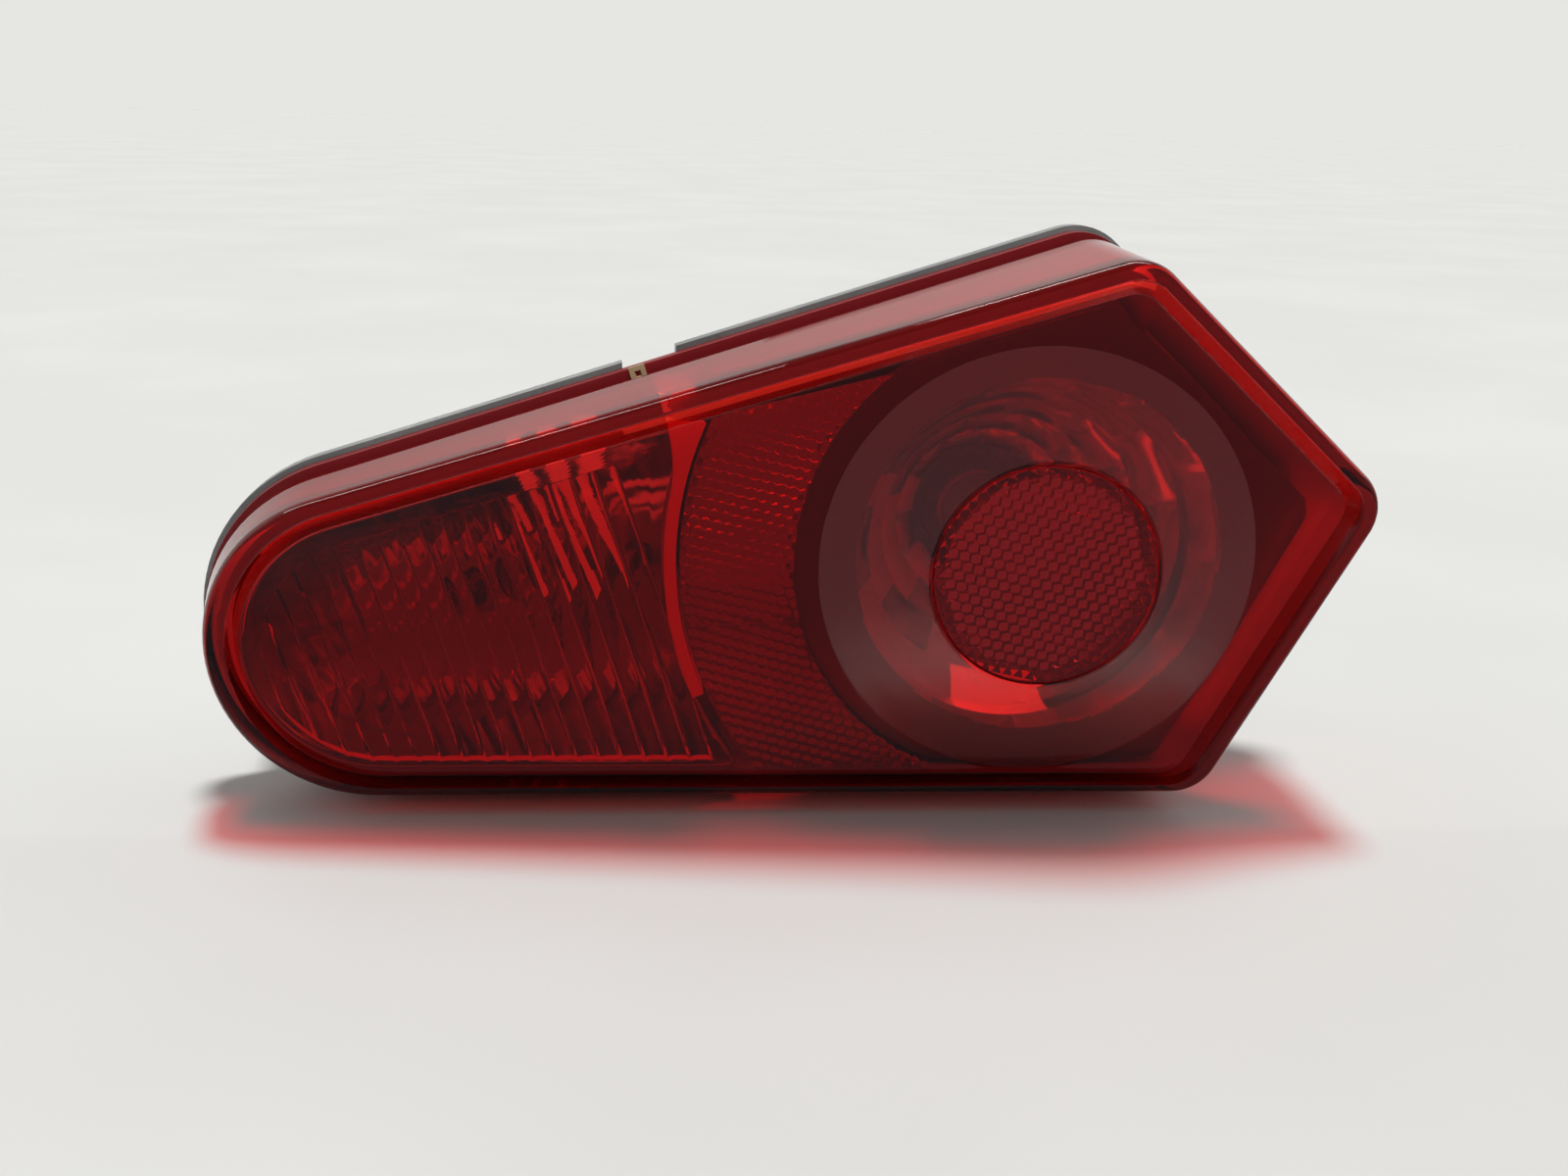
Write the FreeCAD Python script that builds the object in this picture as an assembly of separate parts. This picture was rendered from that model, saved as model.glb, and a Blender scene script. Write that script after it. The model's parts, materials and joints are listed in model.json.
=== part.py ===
"""Rear lamp for a utility vehicle: red lens, black housing, two bulbs in twist-lock sockets.

Millimetres.  +X runs along the lamp, +Y points back into the vehicle and +Z is up.  The origin is
midway between the two mounting studs, on the plane of the pads that they stand on.  The lens face
leans over by FACE_TILT about Z, so the lens skirt is deepest at the brake end.
"""
import FreeCAD, Part

import math
import os

V = FreeCAD.Vector
Y_AXIS = V(0, 1, 0)
Z_AXIS = V(0, 0, 1)

# The lamp's outline has four sides.  Each is (direction of its outward normal in degrees,
# distance from the brake axis).  The big radius rounds the nose, at the tail end.
BRAKE_X = 53.0
BRAKE_Z = 17.0
SIDES = ((-90.0, 49.5), (-26.3, 55.9), (48.3, 57.9), (107.2, 55.4))
CORNER_R = 10.0
NOSE_R = 32.2

# Depths along Y.
FLANGE_BACK = -22.0
FLANGE_THICK = 3.5
FLANGE_FRONT = FLANGE_BACK - FLANGE_THICK
PAN_BACK = -2.0
PAD_FACE = 0.0
FACE_Y = -57.9
FACE_TILT = 5.37
BACK_WALL = 2.5
PAN_FLOOR = PAN_BACK - BACK_WALL

# Lens: offsets are outward from the rim's outline, rises are towards the viewer from the floor.
WALL = 2.5
RIM_RISE = 4.0
RIM_ROUND_RISE = 2.0
RIM_CROWN = (1.0, 1.0, 1.0, 1.0)
CREST_INSET = (2.3, 3.5, 3.5, 3.5)
FLOOR_INSET = (3.2, 6.7, 8.6, 7.0)
FLOOR_RADII = (6.5, 6.0, 6.0, 27.4)
CREST_RADII = (8.0, 7.5, 7.5, 29.6)
SKIRT_OFFSET = 1.6
SKIRT_END = FLANGE_BACK - 13.0
GROOVE_OFFSET = 0.2
FOOT_OFFSET = 2.6
FOOT_THICK = 3.0
SKIRT_INNER = -1.4
CONE_R = 45.0
DISC_R = 23.4
DISC_RISE = 6.84
DISC_SEAT_R = 22.8
DISC_HOLE_R = 20.5
DISC_SEAT_DEPTH = 2.0
DISC_PAD = 2.2
GATE_X = -23.6
GATE_SIZE = (3.0, 1.2, 1.4)

# Reflex crescent, on circles about the brake axis.
CRESCENT_IN = 49.5
CRESCENT_OUT = 73.0
CRESCENT_THICK = 2.6
CRESCENT_GAP = 0.1
CRESCENT_RIGHT_TOP = -31.0
CRESCENT_RIGHT_LOW = -15.0
CRESCENT_INSET = (4.2, 6.7, 8.6, 7.0)

# Housing.
FLANGE_OFFSET = 3.7
PAN_INSET = 7.0
PAN_WALL = 2.5
SEAL_OUT = 1.0
SEAL_IN = -1.2
SEAL_DEEP = 1.4
NOTCH = (-29.4, -18.2)
NOTCH_DEEP = 2.3
GUSSET_THICK = 1.6
GUSSET_PITCH = 21.0
GUSSET_COUNT = 10
GUSSET_TOP = -10.0

# Mounting.
STUD_SPACING = 172.0
STUD_R = 3.0
STUD_REACH = 16.0
STUD_HEAD_R = 4.6
STUD_HEAD = (-8.5, -6.0)
STUD_NECK_R = 2.7
STUD_RELIEF_R = 4.3
STUD_RELIEF = -0.8
STUD_TIP = 0.8
PAD_R = 9.0
STUD_BOSS_R = 6.5
STUD_BOSS_TOP = -9.8
PIN_AT = (66.0, 62.0)
PIN_R = 3.5
PIN_REACH = 10.0

# Breather.
VENT_AT = (5.0, -8.0)
VENT_HOLE_R = 2.6
VENT_BOSS_R = 7.0
VENT_FILTER_R = 5.0
VENT_FILTER_THICK = 0.4
VENT_CAP_R = 6.5
VENT_CAP = (1.4, 2.8)

# Reflectors.
BOWL_RIM_R = 41.0
BOWL_HOLE_R = 15.0
BOWL_BOTTOM = -11.0
BOWL_DEPTH = 48.6
BOWL_STEPS = 8
BOWL_WALL = 1.6
PLATE_DEEP = 6.0
PLATE_THICK = 1.6
TRAY_BOTTOM = -10.4
TRAY_WALL = 1.6
TRAY_INSET = 12.0
TRAY_RADII = (3.0, 3.0, 3.0, 20.2)
TRAY_WAIST = 11.4
TRAY_WAIST_RADII = (3.0, 3.0, 3.0, 20.8)
TRAY_WAIST_Y = -26.5
TRAY_FRONT_INSET = (6.0, 7.6, 9.2, 7.6)
TRAY_FRONT_RADII = (5.0, 5.0, 5.0, 26.4)
TRAY_FRONT_GAP = 1.2
TRAY_ARC_R = 74.4
TAIL_HOLE_R = 7.0
SCREW_R = 1.75
SCREW_CLEAR_R = 2.1
SCREW_PILOT_R = 1.8
SCREW_HEAD_R = 3.6
SCREW_HEAD = (-2.0, -0.3)
SCREW_TIP = -13.5
REFLECTOR_BOSS_R = 4.0
BOSS_CIRCLE_R = 26.0
BOWL_BOSS_ANGLES = (35.0, 215.0)
TRAY_BOSSES = ((-84.0, 15.0), (-40.0, -8.0))

# Bulb sockets: the big one holds a 20 mm brake bulb, the small one a 10 mm tail bulb.
TAIL_X = -62.0
TAIL_Z = 4.0
LOCK_TURN = 45.0
LUG_COUNT = 3
LUG_CLEAR = 0.3
STOP_TURN = -21.0
STOP_WIDTH = 2.5
LUG_Y = (-7.0, -4.8)
SEAL_Y = (0.1, 2.0)
HEAD_Y = (2.0, 4.5)
SHROUD_FLOOR = 5.5
SHROUD_WALL = 1.6
SHROUD_HALF_HIGH = 5.6
BLADE = (2.8, 0.8)
BLADE_END = 13.5
LEAF_WIDE = 3.4
KEY_SIZE = (5.0, 1.4)

BRAKE_SOCKET = {
    "at": (BRAKE_X, BRAKE_Z), "plug_r": 12.0, "lug_r": 14.4, "lug_wide": 6.0, "head_r": 16.0,
    "front": -12.0, "cavity_end": -2.0, "cavity": (8.3, 4.2), "leaf_z": (3.1, 3.6),
    "shroud_half": 10.0, "shroud_end": 18.0, "blade_x": 5.0,
}
TAIL_SOCKET = {
    "at": (TAIL_X, TAIL_Z), "plug_r": 8.4, "lug_r": 10.6, "lug_wide": 5.0, "head_r": 12.5,
    "front": -9.5, "cavity_end": -0.5, "cavity": (5.2, 2.4), "leaf_z": (1.4, 1.8),
    "shroud_half": 7.6, "shroud_end": 17.0, "blade_x": 3.5,
}

# Bulbs.
BRAKE_GLASS_R = 9.8
BRAKE_GLASS_FOOT = -15.5
BRAKE_GLASS_TIP = -45.0
BRAKE_COLLAR_R = 9.4
BRAKE_COLLAR = (-15.5, -12.3)
BRAKE_WEDGE = (15.6, 5.8)
BRAKE_WEDGE_END = -3.0
BRAKE_FILAMENT = (-32.0, 3.8)
TAIL_GLASS_R = 4.8
TAIL_GLASS_FOOT = -9.8
TAIL_GLASS_TIP = -28.0
TAIL_WEDGE = (9.4, 2.4)
TAIL_WEDGE_END = -1.5
TAIL_FILAMENT = (-20.0, 2.2)
GLASS_WALL = 0.7
LEAD_R = 0.3
COIL_R = 0.45


def outline_corners(offsets, radii):
    """Start, middle and end of the arc at each corner, for sides moved out by the offsets."""
    corners = []
    for number in range(4):
        following = (number + 1) % 4
        radius = radii[number]
        angle_a, reach_a = SIDES[number]
        angle_b, reach_b = SIDES[following]
        angle_a = math.radians(angle_a)
        angle_b = math.radians(angle_b)
        a = (math.cos(angle_a), math.sin(angle_a))
        b = (math.cos(angle_b), math.sin(angle_b))
        reach_a += offsets[number] - radius
        reach_b += offsets[following] - radius
        cross = a[0] * b[1] - a[1] * b[0]
        centre_x = (reach_a * b[1] - reach_b * a[1]) / cross
        centre_z = (reach_b * a[0] - reach_a * b[0]) / cross
        size = math.hypot(a[0] + b[0], a[1] + b[1])
        middle = ((a[0] + b[0]) / size, (a[1] + b[1]) / size)
        corners.append([(centre_x + radius * n[0], centre_z + radius * n[1])
                        for n in (a, middle, b)])
    return corners


def face_level(rise):
    """Height field of a plane parallel to the lens face, rise in front of the face floor."""
    slope = math.tan(math.radians(FACE_TILT))
    return lambda x: FACE_Y - rise - slope * x


def flat_level(y):
    """Height field of a plane square to Y."""
    return lambda x: y


def ring(offsets, radii, level):
    """Closed wire of the rounded outline on a plane."""
    points = [[V(BRAKE_X + x, level(x), BRAKE_Z + z) for x, z in corner]
              for corner in outline_corners(offsets, radii)]
    edges = []
    for number in range(4):
        start, middle, end = points[number]
        edges.append(Part.Arc(start, middle, end).toShape())
        edges.append(Part.LineSegment(end, points[(number + 1) % 4][0]).toShape())
    return Part.Wire(edges)


def even_ring(offset, level):
    """Wire of the outline moved out evenly by the offset."""
    corner = max(CORNER_R + offset, 1.5)
    return ring((offset,) * 4, (corner, corner, corner, NOSE_R + offset), level)


def inset_ring(insets, radii, level):
    """Wire of the outline with each side moved in by its own inset."""
    return ring([-inset for inset in insets], radii, level)


def skin(rings):
    """Solid with straight flanks through the rings."""
    return Part.makeLoft(rings, True, True)


def slab(offset, y_low, y_high):
    """Flat slab of the outline between two depths."""
    return skin([even_ring(offset, flat_level(y_low)), even_ring(offset, flat_level(y_high))])


def rod(at, radius, y_low, y_high):
    """Cylinder along Y."""
    return Part.makeCylinder(radius, y_high - y_low, V(at[0], y_low, at[1]), Y_AXIS)


def block(x_low, x_high, y_low, y_high, z_low, z_high):
    """Box between two corners."""
    return Part.makeBox(x_high - x_low, y_high - y_low, z_high - z_low, V(x_low, y_low, z_low))


def centred(at, half_x, half_z, y_low, y_high):
    """Box of half sizes about an axis along Y."""
    return block(at[0] - half_x, at[0] + half_x, y_low, y_high, at[1] - half_z, at[1] + half_z)


def turned(shape, at, angle):
    """Copy of a shape turned about an axis along Y."""
    copy = shape.copy()
    copy.rotate(V(at[0], 0, at[1]), Y_AXIS, angle)
    return copy


def joined(shapes):
    """One clean solid from shapes that meet."""
    body = shapes[0]
    for shape in shapes[1:]:
        body = body.fuse(shape)
    return body.removeSplitter()


def group(shapes):
    """Several separate solids kept in one node."""
    return Part.makeCompound(shapes)


def on_face(shape):
    """Place a shape, made with its base on the plane y = 0 at the origin, on the lens face."""
    placed = shape.copy()
    placed.rotate(V(0, 0, 0), Z_AXIS, -FACE_TILT)
    placed.translate(V(BRAKE_X, FACE_Y, BRAKE_Z))
    return placed


def face_cone(low_r, high_r, y_low, y_high):
    """Cone about the face normal: low_r at y_low, high_r at y_high, from the face floor."""
    return on_face(Part.makeCone(low_r, high_r, y_high - y_low, V(0, y_low, 0), Y_AXIS))


def face_disc(radius, y_low, y_high):
    """Disc about the face normal."""
    return on_face(Part.makeCylinder(radius, y_high - y_low, V(0, y_low, 0), Y_AXIS))


def rim_shape():
    """Outside of the lens: rounded rim, drafted skirt, groove and foot."""
    crown = inset_ring(RIM_CROWN, (CORNER_R - 1, CORNER_R - 1, CORNER_R - 1, NOSE_R - 1),
                       face_level(RIM_RISE))
    shoulder = even_ring(0.0, face_level(RIM_ROUND_RISE))
    skirt_end = even_ring(SKIRT_OFFSET, flat_level(SKIRT_END))
    foot_front = FLANGE_FRONT - FOOT_THICK
    return joined([skin([crown, shoulder]),
                   skin([shoulder, skirt_end]),
                   slab(GROOVE_OFFSET, SKIRT_END, foot_front),
                   slab(FOOT_OFFSET, foot_front, FLANGE_FRONT)])


def lens_hollow():
    """Space inside the lens, behind its face."""
    front = even_ring(-4.0, face_level(-WALL))
    middle = even_ring(SKIRT_INNER, flat_level(SKIRT_END))
    back = even_ring(SKIRT_INNER, flat_level(FLANGE_FRONT))
    return skin([front, middle]).fuse(skin([middle, back]))


def lens():
    """Red lens with a sunk face, a dished brake cone and a seat for the round reflex."""
    crest = inset_ring(CREST_INSET, CREST_RADII, face_level(RIM_RISE + 0.01))
    floor = inset_ring(FLOOR_INSET, FLOOR_RADII, face_level(0.0))
    body = rim_shape().cut(skin([floor, crest])).cut(lens_hollow())
    body = body.fuse(face_cone(DISC_R, CONE_R, -DISC_RISE, 0.5))
    body = body.cut(face_cone(DISC_R - 1.0, CONE_R - 1.5, WALL - DISC_RISE, WALL + 0.5))
    body = body.fuse(face_disc(DISC_R - 0.6, -DISC_RISE, WALL - DISC_RISE))
    body = body.cut(face_disc(DISC_SEAT_R, -DISC_RISE - 1, DISC_SEAT_DEPTH - DISC_RISE))
    body = body.cut(face_disc(DISC_HOLE_R, -DISC_RISE - 1, 0.0))
    wide, out, deep = GATE_SIZE
    band = slab(FOOT_OFFSET + out, FLANGE_FRONT - deep, FLANGE_FRONT)
    band = band.cut(slab(FOOT_OFFSET - 0.5, FLANGE_FRONT - deep - 1, FLANGE_FRONT + 1))
    gate = band.common(block(GATE_X - wide / 2, GATE_X + wide / 2, -40, 0, 0, 100))
    return body.fuse(gate).removeSplitter()


def reflex_disc():
    """Round reflex reflector let into the top of the brake cone."""
    cap = face_disc(DISC_SEAT_R - 0.1, -DISC_RISE, DISC_SEAT_DEPTH - DISC_RISE)
    pad_end = DISC_SEAT_DEPTH + DISC_PAD - DISC_RISE
    pad = face_disc(DISC_HOLE_R - 0.2, DISC_SEAT_DEPTH - DISC_RISE, pad_end)
    return joined([cap, pad])


def reflex_crescent():
    """Reflex reflector behind the face, between two circles about the brake axis."""
    start = WALL + CRESCENT_GAP
    floor = [inset_ring(CRESCENT_INSET, FLOOR_RADII, face_level(-deep))
             for deep in (start, start + CRESCENT_THICK)]
    arc_band = face_disc(CRESCENT_OUT, -5, 20).cut(face_disc(CRESCENT_IN, -6, 21))
    plate = skin(floor).common(arc_band)
    left_top = block(BRAKE_X - 80, BRAKE_X + CRESCENT_RIGHT_TOP, -70, -30, BRAKE_Z, 100)
    left_low = block(BRAKE_X - 80, BRAKE_X + CRESCENT_RIGHT_LOW, -70, -30, -60, BRAKE_Z)
    return plate.common(left_top.fuse(left_low)).removeSplitter()


def lens_seal():
    """Bead of sealant in the channel under the lens foot."""
    back = FLANGE_FRONT + SEAL_DEEP
    return slab(SEAL_OUT, FLANGE_FRONT, back).cut(slab(SEAL_IN, FLANGE_FRONT - 1, back + 1))


def stud_places():
    """Axes of the two studs."""
    return [(-STUD_SPACING / 2, 0.0), (STUD_SPACING / 2, 0.0)]


def mounting_studs():
    """Two studs with round heads moulded into the housing."""
    studs = []
    for at in stud_places():
        neck = rod(at, STUD_NECK_R, STUD_HEAD[1], STUD_RELIEF)
        shank = rod(at, STUD_R, STUD_RELIEF, STUD_REACH - STUD_TIP)
        tip = Part.makeCone(STUD_R, STUD_R - STUD_TIP, STUD_TIP,
                            V(at[0], STUD_REACH - STUD_TIP, at[1]), Y_AXIS)
        studs.append(joined([rod(at, STUD_HEAD_R, *STUD_HEAD), neck, shank, tip]))
    return group(studs)


def screw_places():
    """Axes of the screws that hold the reflectors, two for each."""
    places = list(TRAY_BOSSES)
    for angle in BOWL_BOSS_ANGLES:
        angle = math.radians(angle)
        places.append((BRAKE_X + BOSS_CIRCLE_R * math.cos(angle),
                       BRAKE_Z + BOSS_CIRCLE_R * math.sin(angle)))
    return places


def reflector_screws():
    """Thread-forming screws driven from behind into the reflectors' bosses."""
    screws = []
    for at in screw_places():
        drive = centred(at, 1.9, 0.45, SCREW_HEAD[1] - 0.9, SCREW_HEAD[1] + 1)
        drive = drive.fuse(centred(at, 0.45, 1.9, SCREW_HEAD[1] - 0.9, SCREW_HEAD[1] + 1))
        screw = rod(at, SCREW_HEAD_R, *SCREW_HEAD).cut(drive)
        screws.append(joined([screw, rod(at, SCREW_R, SCREW_TIP, SCREW_HEAD[0])]))
    return group(screws)


def reflector_boss(at, top):
    """Boss behind a reflector, with its pilot hole."""
    return rod(at, REFLECTOR_BOSS_R, top, PAN_FLOOR)


def bowl_radius(step):
    """Radius of the bowl at a step between its hole and its rim."""
    return BOWL_HOLE_R + (BOWL_RIM_R - BOWL_HOLE_R) * step / BOWL_STEPS


def bowl_y(radius):
    """Depth of the parabolic bowl at a radius."""
    span = BOWL_RIM_R ** 2 - BOWL_HOLE_R ** 2
    return BOWL_BOTTOM - BOWL_DEPTH * (radius ** 2 - BOWL_HOLE_R ** 2) / span


def brake_reflector():
    """Stepped bowl with a plate around it that closes the brake end behind the face."""
    inner = [(BOWL_HOLE_R, BOWL_BOTTOM + 0.5)]
    for step in range(BOWL_STEPS):
        inner.append((bowl_radius(step), bowl_y(bowl_radius(step + 1) - 1.0)))
        inner.append((bowl_radius(step + 1) - 0.6, bowl_y(bowl_radius(step + 1))))
    outer = [(radius + BOWL_WALL, y + BOWL_WALL) for radius, y in reversed(inner)]
    points = [V(radius, y, 0) for radius, y in inner + outer]
    profile = Part.Face(Part.makePolygon(points + points[:1]))
    bowl = profile.revolve(V(0, 0, 0), Y_AXIS, 360)
    bowl.translate(V(BRAKE_X, 0, BRAKE_Z))
    bosses = [reflector_boss(at, bowl_y(BOSS_CIRCLE_R + 3) + 1) for at in screw_places()[2:]]
    core = [V(0, inner[0][1], 0)] + points[:len(inner)] + [V(0, inner[-1][1], 0)]
    hollow = Part.Face(Part.makePolygon(core + core[:1])).revolve(V(0, 0, 0), Y_AXIS, 360)
    hollow.translate(V(BRAKE_X, 0, BRAKE_Z))
    bowl = bowl.fuse(bosses).cut(hollow)
    front = inset_ring([inset + 1 for inset in FLOOR_INSET], (5, 5, 5, 26),
                       face_level(-PLATE_DEEP))
    back = inset_ring([inset + 1 for inset in FLOOR_INSET], (5, 5, 5, 26),
                      face_level(-PLATE_DEEP - PLATE_THICK))
    side = face_disc(CRESCENT_IN - 0.5, 0, 20).fuse(block(BRAKE_X - 10, 130, -80, -20, -60, 100))
    plate = skin([front, back]).common(side).cut(hollow)
    ahead = skin([even_ring(5, flat_level(-90)), even_ring(5, face_level(-PLATE_DEEP))])
    body = bowl.cut(ahead).fuse(plate)
    for at in screw_places()[2:]:
        body = body.cut(rod(at, SCREW_PILOT_R, SCREW_TIP - 0.5, 0))
    return body.removeSplitter()


def tray_space(wall):
    """Flaring space of the tail tray, grown by the wall."""
    front = ring([wall - inset for inset in TRAY_FRONT_INSET],
                 [radius + wall for radius in TRAY_FRONT_RADII], face_level(-WALL - TRAY_FRONT_GAP))
    waist = ring((wall - TRAY_WAIST,) * 4, [radius + wall for radius in TRAY_WAIST_RADII],
                 flat_level(TRAY_WAIST_Y))
    bottom = TRAY_BOTTOM - TRAY_WALL + wall
    floor = ring((wall - TRAY_INSET,) * 4, [radius + wall for radius in TRAY_RADII],
                 flat_level(bottom))
    return skin([front, waist]).fuse(skin([waist, floor]))


def tail_reflector():
    """Tray behind the fluted window, closed towards the brake end by a curved rib."""
    axis = (BRAKE_X, BRAKE_Z)
    outer = tray_space(TRAY_WALL)
    inner = tray_space(0.0).cut(rod(axis, TRAY_ARC_R + TRAY_WALL, -90, 10))
    body = outer.cut(rod(axis, TRAY_ARC_R, -90, 10))
    body = body.cut(block(BRAKE_X - 20, 150, -90, 10, -90, 120))
    body = body.fuse([reflector_boss(at, TRAY_BOTTOM - 0.5) for at in TRAY_BOSSES]).cut(inner)
    body = body.cut(rod((TAIL_X, TAIL_Z), TAIL_HOLE_R, -20, 0))
    for at in TRAY_BOSSES:
        body = body.cut(rod(at, SCREW_PILOT_R, SCREW_TIP - 0.5, 0))
    return body.removeSplitter()


def gussets():
    """Thin triangular ribs between the flange and the outside of the pan."""
    envelope = skin([even_ring(1.0, flat_level(FLANGE_BACK)),
                     even_ring(-PAN_INSET + 0.3, flat_level(GUSSET_TOP))])
    envelope = envelope.cut(slab(-PAN_INSET - 0.3, FLANGE_BACK - 1, 1))
    ribs = []
    for number in range(GUSSET_COUNT):
        x = (number - (GUSSET_COUNT - 1) / 2) * GUSSET_PITCH
        ribs.append(block(x, x + GUSSET_THICK, -30, 0, -90, 120))
    return envelope.common(Part.makeCompound(ribs))


def bayonet_hole(socket):
    """Hole with notches that lets a socket's plug and lugs in."""
    at = socket["at"]
    hole = rod(at, socket["plug_r"] + LUG_CLEAR, PAN_FLOOR - 1, PAD_FACE + 1)
    lug = lug_shape(socket, LUG_CLEAR, (PAN_FLOOR - 1, PAD_FACE + 1))
    for number in range(LUG_COUNT):
        hole = hole.fuse(turned(lug, at, number * 360 / LUG_COUNT + LOCK_TURN))
    return hole


def bayonet_stops(socket):
    """Blocks beside the lugs that end the turn at the locked position."""
    at = socket["at"]
    low_r = socket["plug_r"] + LUG_CLEAR
    stop = block(at[0] + low_r - 0.2, at[0] + socket["lug_r"], LUG_Y[0], PAN_FLOOR,
                 at[1] - STOP_WIDTH / 2, at[1] + STOP_WIDTH / 2)
    stop = stop.cut(rod(at, low_r, -10, 0))
    turn = STOP_TURN * (1.0 if socket is BRAKE_SOCKET else 1.25)
    return [turned(stop, at, number * 360 / LUG_COUNT + turn) for number in range(LUG_COUNT)]


def lug_shape(socket, grow, y_range):
    """One lug along +X from the socket's axis."""
    at = socket["at"]
    half = socket["lug_wide"] / 2 + grow
    bar = block(at[0], at[0] + socket["lug_r"] + 2, *y_range, at[1] - half, at[1] + half)
    return bar.common(rod(at, socket["lug_r"] + grow, *y_range))


def housing():
    """Black housing: flange, pan, pads, socket seats, bosses, breather seat and locating pin."""
    body = joined([slab(FLANGE_OFFSET, FLANGE_FRONT, FLANGE_BACK),
                   slab(-PAN_INSET, FLANGE_BACK, PAN_BACK)])
    adds = [rod(at, PAD_R, PAN_BACK, PAD_FACE) for at in stud_places()]
    adds += [rod(s["at"], s["head_r"] + 1, PAN_BACK, PAD_FACE) for s in (BRAKE_SOCKET, TAIL_SOCKET)]
    adds.append(rod(VENT_AT, VENT_BOSS_R, PAN_BACK, PAD_FACE))
    adds.append(rod(PIN_AT, PIN_R + 2.5, PAN_BACK, PAD_FACE))
    adds.append(rod(PIN_AT, PIN_R, PAD_FACE, PIN_REACH))
    body = body.fuse(adds).fuse(gussets().Solids)
    body = body.cut(slab(-PAN_INSET - PAN_WALL, FLANGE_FRONT - 1, PAN_FLOOR))
    body = body.fuse([rod(at, STUD_BOSS_R, STUD_BOSS_TOP, PAN_FLOOR) for at in stud_places()])
    band = slab(FLANGE_OFFSET + 2, FLANGE_FRONT - 1, FLANGE_BACK + 0.5)
    band = band.cut(slab(FLANGE_OFFSET - NOTCH_DEEP, FLANGE_FRONT - 2, FLANGE_BACK + 1))
    body = body.cut(band.common(block(*NOTCH, -40, 0, 0, 100)))
    body = body.cut(lens_seal()).cut(mounting_studs())
    body = body.cut([rod(at, STUD_RELIEF_R, STUD_RELIEF, PAD_FACE + 1) for at in stud_places()])
    body = body.cut(rod(VENT_AT, VENT_HOLE_R, -10, 1))
    for at in screw_places():
        body = body.cut(rod(at, SCREW_CLEAR_R, -10, 1))
    for socket in (BRAKE_SOCKET, TAIL_SOCKET):
        body = body.cut(bayonet_hole(socket)).fuse(bayonet_stops(socket))
    return body.removeSplitter()


def vent_cap():
    """Breather cap on four feet."""
    disc = rod(VENT_AT, VENT_CAP_R, *VENT_CAP)
    feet = rod(VENT_AT, VENT_CAP_R, PAD_FACE, VENT_CAP[0]).cut(
        rod(VENT_AT, VENT_FILTER_R + 0.2, PAD_FACE, VENT_CAP[0]))
    for half_x, half_z in ((VENT_CAP_R, 1.6), (1.6, VENT_CAP_R)):
        feet = feet.cut(centred(VENT_AT, half_x, half_z, PAD_FACE, VENT_CAP[0]))
    return disc.fuse(feet.Solids).removeSplitter()


def vent_filter():
    """Disc of breather membrane over the hole."""
    return rod(VENT_AT, VENT_FILTER_R, PAD_FACE, PAD_FACE + VENT_FILTER_THICK)


def socket_terminals(socket):
    """Two brass terminals: a leaf beside the bulb's wedge, a step, and a blade in the shroud."""
    x, z = socket["at"]
    low, high = socket["leaf_z"]
    step_y = socket["cavity_end"]
    terminals = []
    for side in (-1, 1):
        middle = x + side * socket["blade_x"]
        half = LEAF_WIDE / 2
        leaf_z = sorted((z + side * low, z + side * high))
        leaf = block(middle - half, middle + half, socket["front"] + 1, step_y + 1.0, *leaf_z)
        step_z = sorted((z - side * BLADE[1] / 2, z + side * high))
        step = block(middle - BLADE[0] / 2, middle + BLADE[0] / 2, step_y + 0.2, step_y + 1.0,
                     *step_z)
        blade = block(middle - BLADE[0] / 2, middle + BLADE[0] / 2, step_y + 0.2, BLADE_END,
                      z - BLADE[1] / 2, z + BLADE[1] / 2)
        terminals.append(joined([leaf, step, blade]))
    return group(terminals)


def socket_body(socket):
    """Twist-lock socket with its lugs, sealing head and connector shroud."""
    at = socket["at"]
    lug = lug_shape(socket, 0.0, LUG_Y)
    lugs = [turned(lug, at, number * 360 / LUG_COUNT) for number in range(LUG_COUNT)]
    half = socket["shroud_half"]
    shroud = centred(at, half + SHROUD_WALL, SHROUD_HALF_HIGH + SHROUD_WALL,
                     HEAD_Y[1], socket["shroud_end"])
    key_wide, key_high = KEY_SIZE
    top = at[1] + SHROUD_HALF_HIGH + SHROUD_WALL
    latch = block(at[0] - key_wide / 2, at[0] + key_wide / 2, HEAD_Y[1],
                  socket["shroud_end"] - 3, top - 0.1, top + key_high)
    grips = [centred((at[0] + side * (half + SHROUD_WALL), at[1]), 1.6, 3.6,
                     HEAD_Y[1], socket["shroud_end"] - 5) for side in (-1, 1)]
    body = rod(at, socket["plug_r"], socket["front"], HEAD_Y[0])
    body = body.fuse([rod(at, socket["head_r"], *HEAD_Y), shroud, latch] + grips + lugs)
    body = body.cut(centred(at, half, SHROUD_HALF_HIGH, SHROUD_FLOOR, socket["shroud_end"] + 1))
    cavity_x, cavity_z = socket["cavity"]
    body = body.cut(centred(at, cavity_x, cavity_z, socket["front"] - 1, socket["cavity_end"]))
    return body.cut(socket_terminals(socket)).removeSplitter()


def socket_seal(socket):
    """Rubber ring between the socket's head and its seat."""
    at = socket["at"]
    return rod(at, socket["head_r"] - 0.6, *SEAL_Y).cut(rod(at, socket["plug_r"], -1, 3))


def dome(at, radius, foot, tip):
    """Bullet along -Y: a cylinder with a half-ball tip."""
    ball = Part.makeSphere(radius, V(at[0], tip + radius, at[1]))
    return joined([rod(at, radius, tip + radius, foot), ball])


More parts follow.
